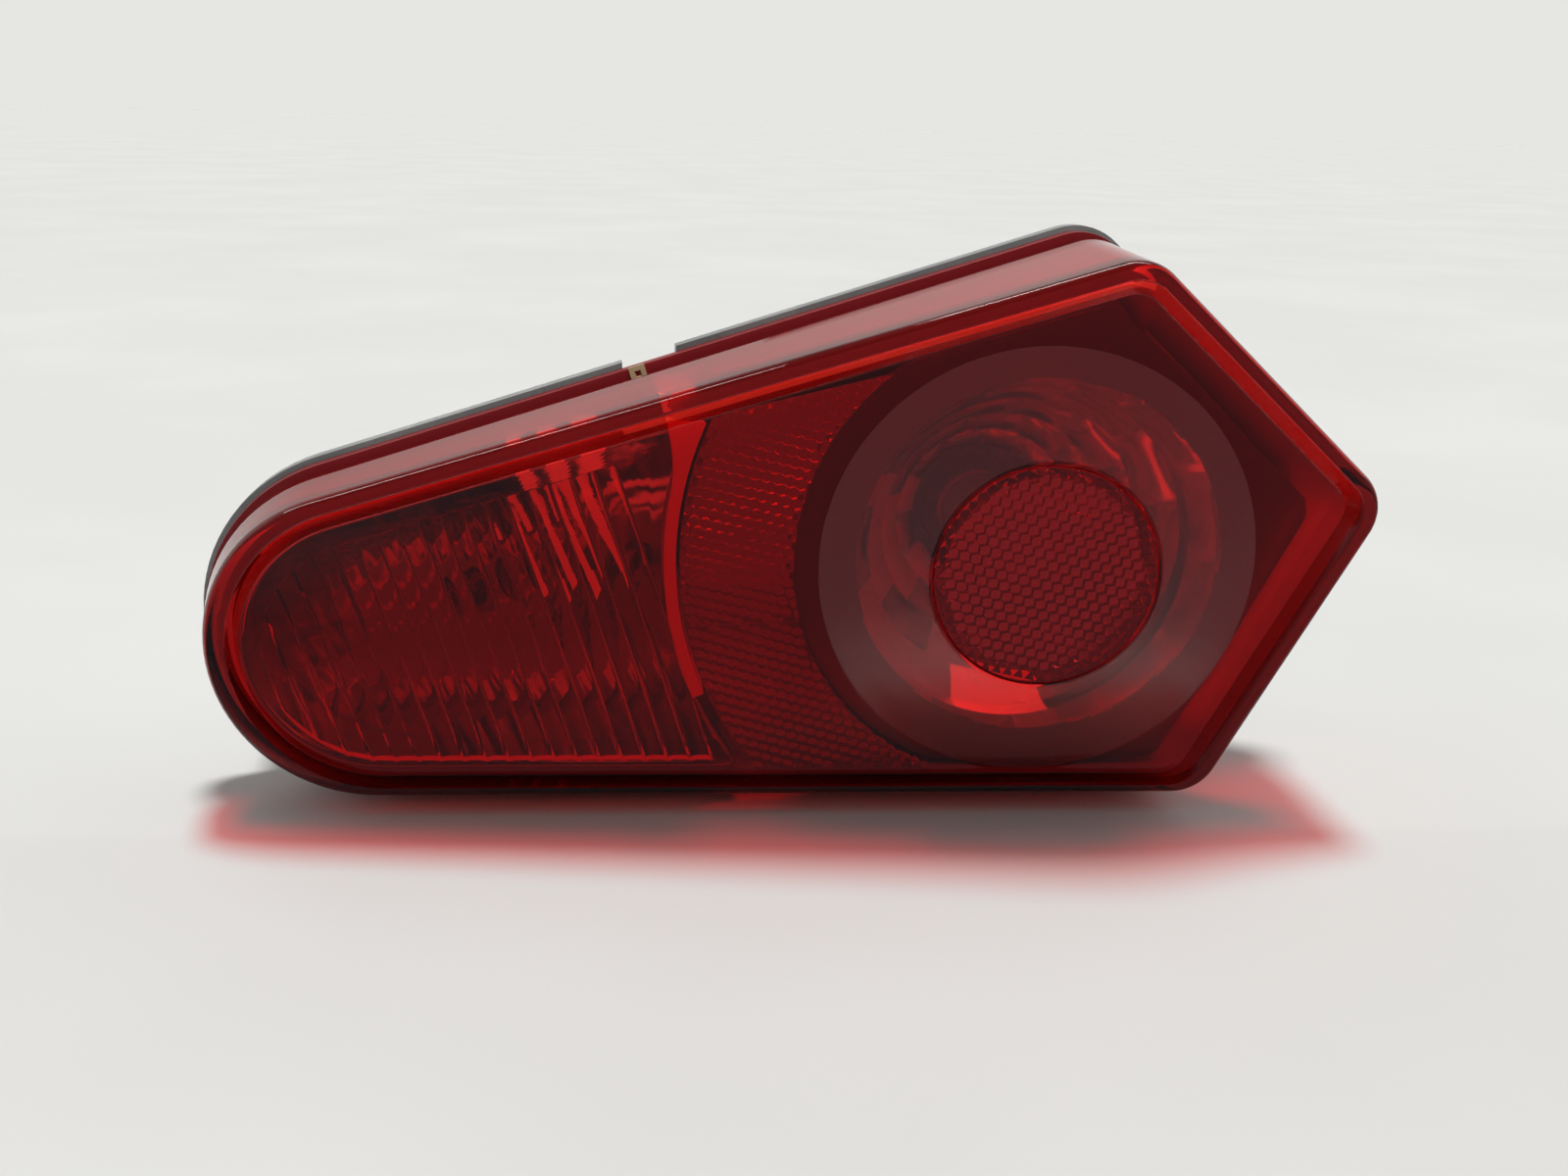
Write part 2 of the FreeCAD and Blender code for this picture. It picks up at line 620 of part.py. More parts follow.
def brake_bulb_glass():
    """Glass of the brake bulb, open at its foot, where the base closes it."""
    at = (BRAKE_X, BRAKE_Z)
    outside = dome(at, BRAKE_GLASS_R, BRAKE_GLASS_FOOT, BRAKE_GLASS_TIP)
    inside = dome(at, BRAKE_GLASS_R - GLASS_WALL, BRAKE_GLASS_FOOT + 1,
                  BRAKE_GLASS_TIP + GLASS_WALL)
    return outside.cut(inside)


def brake_bulb_base():
    """Plastic wedge base of the brake bulb."""
    at = (BRAKE_X, BRAKE_Z)
    wide, thick = BRAKE_WEDGE
    wedge = centred(at, wide / 2, thick / 2, BRAKE_COLLAR[1], BRAKE_WEDGE_END)
    return joined([rod(at, BRAKE_COLLAR_R, *BRAKE_COLLAR), wedge])


def filament(at, foot, coil_y, half):
    """Two leads and the coil between them."""
    leads = [rod((at[0] + side * half, at[1]), LEAD_R, coil_y - LEAD_R, foot) for side in (-1, 1)]
    coil = Part.makeCylinder(COIL_R, 2 * half, V(at[0] - half, coil_y, at[1]), V(1, 0, 0))
    return joined([coil] + leads)


def tail_bulb_glass():
    """All-glass tail bulb: a hollow bullet drawn into a solid wedge."""
    at = (TAIL_X, TAIL_Z)
    wide, thick = TAIL_WEDGE
    wedge = centred(at, wide / 2, thick / 2, TAIL_GLASS_FOOT, TAIL_WEDGE_END)
    wedge = wedge.common(rod(at, TAIL_GLASS_R, TAIL_GLASS_FOOT, TAIL_WEDGE_END))
    outside = dome(at, TAIL_GLASS_R, TAIL_GLASS_FOOT, TAIL_GLASS_TIP)
    inside = dome(at, TAIL_GLASS_R - GLASS_WALL, TAIL_GLASS_FOOT - 2.0,
                  TAIL_GLASS_TIP + GLASS_WALL)
    return joined([outside, wedge]).cut(inside)


def tail_bulb_filament():
    """Filament and leads of the tail bulb."""
    coil_y, half = TAIL_FILAMENT
    return filament((TAIL_X, TAIL_Z), TAIL_GLASS_FOOT - 2.0, coil_y, half)


def brake_bulb_filament():
    """Filament and leads of the brake bulb."""
    coil_y, half = BRAKE_FILAMENT
    return filament((BRAKE_X, BRAKE_Z), BRAKE_GLASS_FOOT, coil_y, half)


def sub_parts():
    """Every node's name and shape."""
    shapes = {
        "lens": lens(),
        "reflex_disc": reflex_disc(),
        "reflex_crescent": reflex_crescent(),
        "lens_seal": lens_seal(),
        "housing": housing(),
        "brake_reflector": brake_reflector(),
        "tail_reflector": tail_reflector(),
        "reflector_screws": reflector_screws(),
        "mounting_studs": mounting_studs(),
        "vent_cap": vent_cap(),
        "vent_filter": vent_filter(),
        "brake_bulb_glass": brake_bulb_glass(),
        "brake_bulb_base": brake_bulb_base(),
        "brake_bulb_filament": brake_bulb_filament(),
        "tail_bulb_glass": tail_bulb_glass(),
        "tail_bulb_filament": tail_bulb_filament(),
    }
    for name, socket in (("brake", BRAKE_SOCKET), ("tail", TAIL_SOCKET)):
        shapes[name + "_socket"] = socket_body(socket)
        shapes[name + "_socket_seal"] = socket_seal(socket)
        shapes[name + "_terminals"] = socket_terminals(socket)
    return shapes


def main():
    """Write one STEP file for each node."""
    os.makedirs("parts", exist_ok=True)
    for name, shape in sub_parts().items():
        shape.exportStep("parts/" + name + ".step")
        box = shape.BoundBox
        print(name, len(shape.Solids), shape.isValid(), round(shape.Volume),
              [round(v, 1) for v in (box.XMin, box.XMax, box.YMin, box.YMax, box.ZMin, box.ZMax)])


main()
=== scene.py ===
"""Looks of a vehicle tail light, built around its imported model.

Metres, in the model's own frame: +X along the lamp, +Y back along the studs, +Z up.  Shapes of the
lens and reflectors are worked out about the brake axis; sizes inside the classes are in millimetres
and are brought to metres by MM.
"""

import json
import logging
import math
from dataclasses import dataclass
from enum import Enum
from typing import Callable, Optional, Sequence

import bpy
import numpy as np
from mathutils import Matrix, Vector

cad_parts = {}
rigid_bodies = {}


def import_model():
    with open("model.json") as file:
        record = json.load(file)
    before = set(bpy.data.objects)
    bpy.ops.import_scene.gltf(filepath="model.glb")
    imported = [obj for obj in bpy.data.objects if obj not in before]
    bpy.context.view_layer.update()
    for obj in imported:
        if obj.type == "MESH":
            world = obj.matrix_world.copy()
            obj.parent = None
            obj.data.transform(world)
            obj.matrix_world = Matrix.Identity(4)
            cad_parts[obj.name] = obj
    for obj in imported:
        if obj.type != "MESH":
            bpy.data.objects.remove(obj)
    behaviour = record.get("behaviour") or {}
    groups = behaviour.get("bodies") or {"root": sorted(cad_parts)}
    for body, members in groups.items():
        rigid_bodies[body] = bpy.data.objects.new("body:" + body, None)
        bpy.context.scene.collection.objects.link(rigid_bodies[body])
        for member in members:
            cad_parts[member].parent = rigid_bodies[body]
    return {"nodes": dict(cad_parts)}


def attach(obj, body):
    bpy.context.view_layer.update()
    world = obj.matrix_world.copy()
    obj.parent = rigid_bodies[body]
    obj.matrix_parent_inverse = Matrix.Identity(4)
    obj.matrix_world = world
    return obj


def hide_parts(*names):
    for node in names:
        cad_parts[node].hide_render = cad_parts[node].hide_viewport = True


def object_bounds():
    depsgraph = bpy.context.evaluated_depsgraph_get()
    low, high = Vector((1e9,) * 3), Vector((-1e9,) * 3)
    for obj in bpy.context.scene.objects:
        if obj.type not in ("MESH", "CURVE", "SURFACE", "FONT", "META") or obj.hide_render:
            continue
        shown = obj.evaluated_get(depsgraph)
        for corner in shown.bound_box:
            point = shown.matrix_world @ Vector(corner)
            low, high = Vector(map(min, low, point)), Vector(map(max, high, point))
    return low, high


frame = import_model()
CAD_BOX = [list(corner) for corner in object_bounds()]

LOG = logging.getLogger("tail_light")
MM = 0.001
Level = Callable[[np.ndarray], np.ndarray]


class Body(Enum):
    """Bodies of the lamp that pieces ride on."""

    LAMP = "lamp"


class Slot(Enum):
    """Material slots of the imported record."""

    RED_LENS = "red_lens"
    RED_REFLEX = "red_reflex"
    BLACK = "black_plastic"
    METALLISED = "metallised_plastic"


# --------------------------------------------------------------------------------------------
# Node helpers and shared effects
# --------------------------------------------------------------------------------------------
class Graph:
    """A node tree with short calls for adding and joining nodes."""

    def __init__(self, tree: bpy.types.NodeTree) -> None:
        """Wrap a node tree."""
        self.tree = tree

    def add(self, kind: str, inputs: Optional[dict] = None, **settings: object) -> bpy.types.Node:
        """Add a node.

        Args:
            kind: node type name.
            inputs: socket name or number to a value or to an output socket to link.
            settings: node properties.

        Returns:
            The new node.
        """
        node = self.tree.nodes.new(kind)
        for name, value in settings.items():
            setattr(node, name, value)
        for name, value in (inputs or {}).items():
            if isinstance(value, bpy.types.NodeSocket):
                self.tree.links.new(value, node.inputs[name])
            else:
                node.inputs[name].default_value = value
        return node

    def math(self, operation: str, a: object, b: object = 0.0) -> bpy.types.NodeSocket:
        """Output of a Math node on two values or sockets."""
        return self.add("ShaderNodeMath", {0: a, 1: b}, operation=operation).outputs[0]

    def noise(self, vector: object, scale: float, detail: float = 3.0,
              rough: float = 0.55) -> bpy.types.NodeSocket:
        """Output of a Noise Texture on a vector.

        Args:
            vector: where the texture is read.
            scale: size of the pattern: more is finer.
            detail: number of finer layers.
            rough: weight of the finer layers.

        Returns:
            The noise value.
        """
        node = self.add("ShaderNodeTexNoise", {"Vector": vector, "Scale": scale, "Detail": detail,
                                               "Roughness": rough})
        return node.outputs["Fac"]

    def ramp(self, value: object, low: float, high: float, to_low: float = 0.0,
             to_high: float = 1.0) -> bpy.types.NodeSocket:
        """Value taken smoothly from the range low..high to to_low..to_high.

        Args:
            value: value or socket to change.
            low: start of the range.
            high: end of the range.
            to_low: result at the start.
            to_high: result at the end.

        Returns:
            The new value.
        """
        node = self.add("ShaderNodeMapRange", {"Value": value, "From Min": low, "From Max": high,
                                               "To Min": to_low, "To Max": to_high},
                        interpolation_type="SMOOTHSTEP")
        return node.outputs["Result"]

    def blend(self, factor: object, a: object, b: object) -> bpy.types.NodeSocket:
        """Colour between a and b.

        Args:
            factor: share of b, as a number or socket.
            a: first colour or socket.
            b: second colour or socket.

        Returns:
            The mixed colour.
        """
        node = self.add("ShaderNodeMix", {"Factor": factor}, data_type="RGBA")
        for socket, value in ((node.inputs[6], a), (node.inputs[7], b)):
            if isinstance(value, bpy.types.NodeSocket):
                self.tree.links.new(value, socket)
            else:
                socket.default_value = (*value[:3], 1.0)
        return node.outputs[2]


class Effect(Enum):
    """Shared shader effects, each a node group."""

    GRAIN = "moulded_grain"
    DUST = "settled_dust"
    SCRATCHES = "fine_scratches"


def build_effect(effect: Effect) -> bpy.types.NodeTree:
    """Build a shared effect once.

    Args:
        effect: which effect.

    Returns:
        A group with inputs Scale and Amount and the output Value, which changes over the surface.
    """
    known = bpy.data.node_groups.get(effect.value)
    if known is not None:
        return known
    tree = bpy.data.node_groups.new(effect.value, "ShaderNodeTree")
    tree.interface.new_socket("Scale", in_out="INPUT", socket_type="NodeSocketFloat")
    tree.interface.new_socket("Amount", in_out="INPUT", socket_type="NodeSocketFloat")
    tree.interface.new_socket("Value", in_out="OUTPUT", socket_type="NodeSocketFloat")
    graph = Graph(tree)
    entry = graph.add("NodeGroupInput")
    place = graph.add("ShaderNodeTexCoord").outputs["Object"]
    scaled = graph.add("ShaderNodeVectorMath", {0: place}, operation="SCALE")
    tree.links.new(entry.outputs["Scale"], scaled.inputs["Scale"])
    vector = scaled.outputs[0]
    if effect is Effect.GRAIN:
        cells = graph.add("ShaderNodeTexVoronoi", {"Vector": vector, "Scale": 1.0},
                          feature="SMOOTH_F1")
        value = graph.math("ADD", cells.outputs["Distance"], graph.noise(vector, 2.3))
        value = graph.math("MULTIPLY", value, entry.outputs["Amount"])
    elif effect is Effect.DUST:
        cloud = graph.noise(vector, 1.0, 4.0, 0.62)
        specks = graph.add("ShaderNodeTexVoronoi", {"Vector": vector, "Scale": 9.0})
        speck = graph.ramp(specks.outputs["Distance"], 0.05, 0.12, 1.0, 0.0)
        value = graph.math("ADD", graph.ramp(cloud, 0.42, 0.78), graph.math("MULTIPLY", speck, 0.5))
        value = graph.math("MULTIPLY", value, entry.outputs["Amount"])
    else:
        turned = graph.add("ShaderNodeMapping", {"Vector": vector, "Rotation": (0.3, 0.7, 0.5),
                                                 "Scale": (1.0, 1.0, 26.0)})
        lines = graph.noise(turned.outputs[0], 1.0, 2.0, 0.4)
        value = graph.math("MULTIPLY", graph.ramp(lines, 0.66, 0.74), entry.outputs["Amount"])
    leave = graph.add("NodeGroupOutput")
    tree.links.new(value, leave.inputs["Value"])
    return tree


def effect_value(graph: Graph, effect: Effect, scale: float, amount: float = 1.0
                 ) -> bpy.types.NodeSocket:
    """Place a shared effect in a material and give its Value.

    Args:
        graph: graph of the material.
        effect: which effect.
        scale: size of the pattern: more is finer.
        amount: strength of the effect.

    Returns:
        The effect's value.
    """
    node = graph.add("ShaderNodeGroup", node_tree=build_effect(effect))
    node.inputs["Scale"].default_value = scale
    node.inputs["Amount"].default_value = amount
    return node.outputs["Value"]


# --------------------------------------------------------------------------------------------
# Finishes
# --------------------------------------------------------------------------------------------
@dataclass(frozen=True)
class Finish:
    """A finish with one Principled shader; the other finishes add to it."""

    name: str
    color: tuple[float, float, float]
    roughness: float
    metallic: float = 0.0
    specular: float = 0.5
    ior: float = 1.5
    # glow is emission strength; on the parts that use it, which are no lamps, it is painted light
    glow: float = 0.0

    def start(self) -> tuple[bpy.types.Material, Graph, bpy.types.Node]:
        """New material, its graph and its Principled node with the plain values set.

        Returns:
            The material, its graph and its Principled node.
        """
        material = bpy.data.materials.new(self.name)
        material.use_nodes = True
        graph = Graph(material.node_tree)
        shader = material.node_tree.nodes["Principled BSDF"]
        shader.inputs["Base Color"].default_value = (*self.color, 1.0)
        shader.inputs["Roughness"].default_value = self.roughness
        shader.inputs["Metallic"].default_value = self.metallic
        shader.inputs["Specular IOR Level"].default_value = self.specular
        shader.inputs["IOR"].default_value = self.ior
        shader.inputs["Emission Color"].default_value = (*self.color, 1.0)
        shader.inputs["Emission Strength"].default_value = self.glow
        return material, graph, shader

    def dress(self, graph: Graph, shader: bpy.types.Node) -> None:
        """Add this finish's own detail to its shader."""

    def build(self) -> bpy.types.Material:
        """Make the material once and give it.

        Returns:
            The material.
        """
        known = bpy.data.materials.get(self.name)
        if known is not None:
            return known
        material, graph, shader = self.start()
        self.dress(graph, shader)
        return material

    def bump(self, graph: Graph, shader: bpy.types.Node, height: object, strength: float,
             distance: float) -> None:
        """Feed a height through a Bump node into the shader's normal.

        Args:
            graph: graph of the material.
            shader: its Principled node.
            height: socket with the height.
            strength: strength of the bump.
            distance: depth of the bump in metres.
        """
        node = graph.add("ShaderNodeBump", {"Height": height, "Strength": strength,
                                            "Distance": distance})
        graph.tree.links.new(node.outputs["Normal"], shader.inputs["Normal"])


@dataclass(frozen=True)
class MouldedPlastic(Finish):
    """Opaque plastic with a fine moulded grain, a little dust and rubbed patches."""

    grain_scale: float = 1600.0
    grain_depth: float = 0.00006
    dust: float = 0.35
    dust_color: tuple[float, float, float] = (0.30, 0.29, 0.27)

    def dress(self, graph: Graph, shader: bpy.types.Node) -> None:
        """Grain in the normal, dust in the colour and in the roughness.

        Args:
            graph: graph of the material.
            shader: its Principled node.
        """
        dust = effect_value(graph, Effect.DUST, 55.0, self.dust)
        color = graph.blend(dust, self.color, self.dust_color)
        graph.tree.links.new(color, shader.inputs["Base Color"])
        rub = graph.noise(graph.add("ShaderNodeTexCoord").outputs["Object"], 90.0)
        rough = graph.ramp(rub, 0.3, 0.7, self.roughness - 0.07, self.roughness + 0.1)
        graph.tree.links.new(rough, shader.inputs["Roughness"])
        self.bump(graph, shader, effect_value(graph, Effect.GRAIN, self.grain_scale), 0.35,
                  self.grain_depth)


@dataclass(frozen=True)
class Metal(Finish):
    """Metal with fine uneven polish and slight scratches."""

    uneven: float = 0.08
    wave_scale: float = 40.0
    wave_depth: float = 0.0
    tarnish: tuple[float, float, float] = (0.35, 0.33, 0.3)
    tarnish_amount: float = 0.15

    def dress(self, graph: Graph, shader: bpy.types.Node) -> None:
        """Uneven colour and roughness, and a slight wave where the part is moulded.

        Args:
            graph: graph of the material.
            shader: its Principled node.
        """
        place = graph.add("ShaderNodeTexCoord").outputs["Object"]
        cloud = graph.noise(place, self.wave_scale * 2.2)
        stain = graph.ramp(cloud, 0.45, 0.8, 0.0, self.tarnish_amount)
        graph.tree.links.new(graph.blend(stain, self.color, self.tarnish),
                             shader.inputs["Base Color"])
        rough = graph.math("ADD", graph.ramp(cloud, 0.3, 0.7, self.roughness,
                                             self.roughness + self.uneven),
                           effect_value(graph, Effect.SCRATCHES, 260.0, 0.08))
        graph.tree.links.new(rough, shader.inputs["Roughness"])
        if self.wave_depth:
            self.bump(graph, shader, graph.noise(place, self.wave_scale), 0.5, self.wave_depth)


@dataclass(frozen=True)
class ClearPlastic(Finish):
    """Clear coloured plastic: smooth or frosted, lightly scuffed, open to lamps' rays."""

    frost: float = 0.0
    through: tuple[float, float, float] = (0.85, 0.12, 0.11)
    scuff: float = 0.16
    veil: float = 0.0
    clear: float = 1.0

    def dress(self, graph: Graph, shader: bpy.types.Node) -> None:
        """Full transmission with scuffs in the roughness, and a tinted way through for lamps.

        Args:
            graph: graph of the material.
            shader: its Principled node.
        """
        shader.inputs["Transmission Weight"].default_value = self.clear
        place = graph.add("ShaderNodeTexCoord").outputs["Object"]
        scuffs = effect_value(graph, Effect.SCRATCHES, 190.0, self.scuff)
        haze = graph.ramp(graph.noise(place, 34.0), 0.5, 0.8, 0.0, self.scuff * 0.35)
        rough = graph.math("ADD", graph.math("ADD", scuffs, haze), self.roughness + self.frost)
        graph.tree.links.new(rough, shader.inputs["Roughness"])
        shader.inputs["Coat Weight"].default_value = 1.0 if self.veil else 0.0
        shader.inputs["Coat Roughness"].default_value = self.veil
        shader.inputs["Coat IOR"].default_value = 1.6 if self.veil else 1.5
        open_way = graph.add("ShaderNodeBsdfTransparent", {"Color": (*self.through, 1.0)})
        rays = graph.add("ShaderNodeLightPath")
        mix = graph.add("ShaderNodeMixShader", {0: rays.outputs["Is Shadow Ray"],
                                                1: shader.outputs[0], 2: open_way.outputs[0]})
        leave = graph.tree.nodes["Material Output"]
        graph.tree.links.new(mix.outputs[0], leave.inputs["Surface"])


RED = (0.84, 0.013, 0.011)
LENS_CLEAR = ClearPlastic("lens_clear_red", RED, 0.015, ior=1.49)
LENS_FROST = ClearPlastic("lens_frosted_red", RED, 0.03, ior=1.49, frost=0.06, veil=0.55,
                          scuff=0.0, clear=0.96)
LENS_SATIN = ClearPlastic("lens_satin_red", (0.30, 0.010, 0.014), 0.05, ior=1.49, frost=0.35,
                          clear=0.5)
# Red emission on the recess wall: painted light for light piped through the lens to its edge
LENS_PAINTED_GLOW = ClearPlastic("lens_painted_glow_edge", (0.95, 0.04, 0.02), 0.05, ior=1.49, glow=0.2)
REFLEX = ClearPlastic("reflex_red", (0.88, 0.03, 0.035), 0.02, ior=1.585, scuff=0.08)
REFLEX_CELLS = ClearPlastic("reflex_cells_red", (0.74, 0.02, 0.03), 0.03, ior=1.585, scuff=0.0,
                            clear=0.92)
FLUTE_CLEAR = ClearPlastic("flutes_clear", (0.9, 0.55, 0.55), 0.02, ior=1.49, scuff=0.05,
                           through=(0.95, 0.8, 0.8))
# Grey flange edge: partly dust, partly a painted sheen for the grazing reflection on black plastic
HOUSING_EDGE_DUST_AND_SHEEN = MouldedPlastic("housing_edge_dust_and_painted_sheen", (0.15, 0.16, 0.16), 0.3, dust=0.5)
HOUSING_BLACK = MouldedPlastic("housing_black", (0.024, 0.026, 0.028), 0.22, ior=1.62,
                               grain_depth=0.00002, dust=0.18)
SOCKET_BLACK = MouldedPlastic("socket_nylon", (0.022, 0.022, 0.024), 0.5, grain_scale=2200.0)
CAP_BLACK = MouldedPlastic("cap_black", (0.03, 0.03, 0.032), 0.48)
BASE_CREAM = MouldedPlastic("bulb_base_cream", (0.62, 0.6, 0.53), 0.45, dust=0.1)
RUBBER_BLACK = MouldedPlastic("seal_rubber_black", (0.02, 0.02, 0.02), 0.75, dust=0.25,
                              specular=0.3)
SEALANT_BLACK = MouldedPlastic("sealant_dark", (0.05, 0.05, 0.05), 0.6, dust=0.1)
MEMBRANE = MouldedPlastic("membrane_white", (0.75, 0.75, 0.73), 0.85, grain_scale=4200.0)
RIB_PALE = MouldedPlastic("rib_pale", (0.92, 0.90, 0.86), 0.35, dust=0.0)
# Pale emission on part of the tail tray: painted light for sunlight through the top skirt
TRAY_PAINTED_GLOW = MouldedPlastic("tray_end_painted_glow", (0.92, 0.90, 0.86), 0.35, dust=0.0, glow=0.42)
GATE_CREAM = MouldedPlastic("gate_mark_cream", (0.42, 0.36, 0.2), 0.5, dust=0.2)
PLATE_DARK = Metal("plate_dark", (0.30, 0.30, 0.31), 0.3, metallic=1.0)
MIRROR_COAT = Metal("mirror_coat", (0.86, 0.86, 0.88), 0.10, metallic=1.0, wave_scale=30.0,
                    wave_depth=0.0004, tarnish_amount=0.05)
# Bowl facets with a faint emission are painted light; the ring with a strong one carries painted glints
MIRROR_PAINTED_GLOW = Metal("mirror_coat_painted_glow", (0.86, 0.86, 0.88), 0.25, metallic=1.0, glow=0.07)
MIRROR_PAINTED_GLINT = Metal("mirror_coat_painted_glint", (0.9, 0.86, 0.8), 0.25, metallic=1.0, glow=0.7)
ZINC = Metal("zinc_plate", (0.62, 0.63, 0.66), 0.3, metallic=1.0)
BRASS_FINISH = Metal("brass_blade", (0.72, 0.5, 0.2), 0.28, metallic=1.0,
                     tarnish=(0.3, 0.18, 0.08), tarnish_amount=0.4)
TUNGSTEN = Metal("tungsten_wire", (0.36, 0.36, 0.38), 0.4, metallic=1.0)
BULB_GLASS = ClearPlastic("bulb_clear_glass", (0.98, 0.98, 0.98), 0.01, ior=1.5, scuff=0.02,
                          through=(0.95, 0.95, 0.95))


# --------------------------------------------------------------------------------------------
# Outline of the lamp
# --------------------------------------------------------------------------------------------
@dataclass(frozen=True)
class Outline:
    """Four straight sides with rounded corners, about the brake axis, in millimetres."""

    brake_x: float = 53.0
    brake_z: float = 17.0
    face_y: float = -57.9
    tilt: float = 5.37
    angles: tuple[float, ...] = (-90.0, -26.3, 48.3, 107.2)
    reaches: tuple[float, ...] = (49.5, 55.9, 57.9, 55.4)
    corner_r: float = 10.0
    nose_r: float = 32.2
    corner_steps: tuple[int, ...] = (14, 14, 14, 44)
    side_steps: tuple[int, ...] = (24, 24, 64, 72)

    def ring(self, offsets: Sequence[float], radii: Sequence[float]) -> np.ndarray:
        """Points around the outline.

        A side is a line at its reach plus its offset from the axis.  Each corner's arc is centred
        where its two sides, moved in by the radius, cross; between arcs the points run straight.

        Args:
            offsets: how far each side is moved out.
            radii: radius of the corner that follows each side.

        Returns:
            Array of (x, z) about the brake axis, anticlockwise as seen from the front.
        """
        points = []
        centres = []
        angles = np.radians(np.append(self.angles, self.angles[0] + 360.0))
        normals = np.stack([np.cos(angles), np.sin(angles)], axis=1)
        for number in range(4):
            following = (number + 1) % 4
            lines = np.stack([normals[number], normals[number + 1]])
            reach = np.array([self.reaches[number] + offsets[number],
                              self.reaches[following] + offsets[following]]) - radii[number]
            centres.append(np.linalg.solve(lines, reach))
        for number in range(4):
            following = (number + 1) % 4
            turn = np.linspace(angles[number], angles[number + 1], self.corner_steps[number] + 1)
            arc = centres[number] + radii[number] * np.stack([np.cos(turn), np.sin(turn)], axis=1)
            start = centres[following] + radii[following] * normals[number + 1]
            steps = np.linspace(0.0, 1.0, self.side_steps[number] + 1)[1:-1, None]
            points += [arc, arc[-1] + (start - arc[-1]) * steps]
        return np.concatenate(points)

    def face(self, x: np.ndarray, rise: float | np.ndarray = 0.0) -> np.ndarray:
        """Y of the leaning face plane: it comes forward by tan(tilt) for each step in x."""
        return self.face_y - rise - math.tan(math.radians(self.tilt)) * x

    def placed(self, ring: np.ndarray, y: np.ndarray | float) -> np.ndarray:
        """Points in the model's frame, in metres, from (x, z) about the brake axis and y."""
        level = np.broadcast_to(y, ring.shape[:1])
        return np.stack([ring[:, 0] + self.brake_x, level, ring[:, 1] + self.brake_z], axis=1) * MM

    def on_face(self, local: np.ndarray) -> np.ndarray:
        """Points in metres from millimetres in the face's own frame (x, y inwards, z).

        Args:
            local: points as (x, y inwards, z).

        Returns:
            Array of points in metres.
        """
        turn = math.radians(self.tilt)
        x = local[..., 0] * math.cos(turn) + local[..., 1] * math.sin(turn) + self.brake_x
        y = local[..., 1] * math.cos(turn) - local[..., 0] * math.sin(turn) + self.face_y
        return np.stack([x, y, local[..., 2] + self.brake_z], axis=-1) * MM


OUTLINE = Outline()


# --------------------------------------------------------------------------------------------
# Mesh helpers
# --------------------------------------------------------------------------------------------
def signed_volume(points: np.ndarray, faces: np.ndarray) -> float:
    """Volume inside quads, as the sum of each half-quad's tetrahedron with the origin.

    Args:
        points: corner points in metres.
        faces: corner numbers of each face.

    Returns:
        Volume, above zero when the faces look outward.
    """
    a, b, c, d = (points[faces[:, corner]] for corner in range(4))
    first = np.einsum("ij,ij->i", a, np.cross(b, c)).sum()
    return float(first + np.einsum("ij,ij->i", a, np.cross(c, d)).sum()) / 6.0


def make_piece(name: str, points: np.ndarray, faces: np.ndarray | list, sharp: float = 32.0
               ) -> bpy.types.Object:
    """Object at the origin from points and faces, shaded smooth below the sharp angle.

    Args:
        name: object name.
        points: corner points in metres.
        faces: corner numbers of each face.
        sharp: angle in degrees above which an edge stays sharp.

    Returns:
        The new object.
    """
    mesh = bpy.data.meshes.new(name)
    listed = faces.tolist() if isinstance(faces, np.ndarray) else faces
    mesh.from_pydata(points.reshape(-1, 3).tolist(), [], listed)
    mesh.validate()
    mesh.shade_smooth()
    mesh.set_sharp_from_angle(angle=math.radians(sharp))
    piece = bpy.data.objects.new(name, mesh)
    bpy.context.scene.collection.objects.link(piece)
    return piece


def grid_faces(rows: int, columns: int, rows_closed: bool, columns_closed: bool) -> np.ndarray:
    """Quads of a grid of points, wrapped round in either direction.

    Args:
        rows: number of rows of points.
        columns: number of points in a row.
        rows_closed: whether the last row joins the first.
        columns_closed: whether the last column joins the first.

    Returns:
        Four corner numbers for each quad.
    """
    row = np.arange(rows if rows_closed else rows - 1)
    column = np.arange(columns if columns_closed else columns - 1)
    r, c = np.meshgrid(row, column, indexing="ij")
    nr, nc = (r + 1) % rows, (c + 1) % columns
    quads = [r * columns + c, r * columns + nc, nr * columns + nc, nr * columns + c]
    return np.stack([q.ravel() for q in quads], axis=1)


def closed_sweep(name: str, rings: Sequence[np.ndarray], sharp: float = 32.0,
                 torus: bool = True) -> bpy.types.Object:
    """Solid through closed rings with equal counts: a torus, or a bar with fanned ends.

    Args:
        name: object name.
        rings: rings of points in metres, in order.
        sharp: angle in degrees above which an edge stays sharp.
        torus: whether the last ring joins the first.

    Returns:
        The new object.
    """
    points = np.stack(rings)
    rows, columns = points.shape[:2]
    faces = grid_faces(rows, columns, torus, True)
    flat = points.reshape(-1, 3)
    if signed_volume(flat - flat.mean(axis=0), faces) < 0 and torus:
        faces = faces[:, ::-1]
    if torus:
        return make_piece(name, flat, faces, sharp)
    ends = [flat[:columns].mean(axis=0), flat[-columns:].mean(axis=0)]
    flat = np.vstack([flat, ends])
    around = np.arange(columns)
    ahead = (around + 1) % columns
    low, high = rows * columns, rows * columns + 1
    base = (rows - 1) * columns
    caps = np.vstack([np.stack([ahead, around, np.full(columns, low)], axis=1),
                      np.stack([base + around, base + ahead, np.full(columns, high)], axis=1)])
    quads = faces
    triangles = np.column_stack([caps, caps[:, 2]])
    if signed_volume(flat - flat.mean(axis=0), np.vstack([quads, triangles])) < 0:
        quads = quads[:, ::-1]
        caps = caps[:, ::-1]
    return make_piece(name, flat, quads.tolist() + caps.tolist(), sharp)


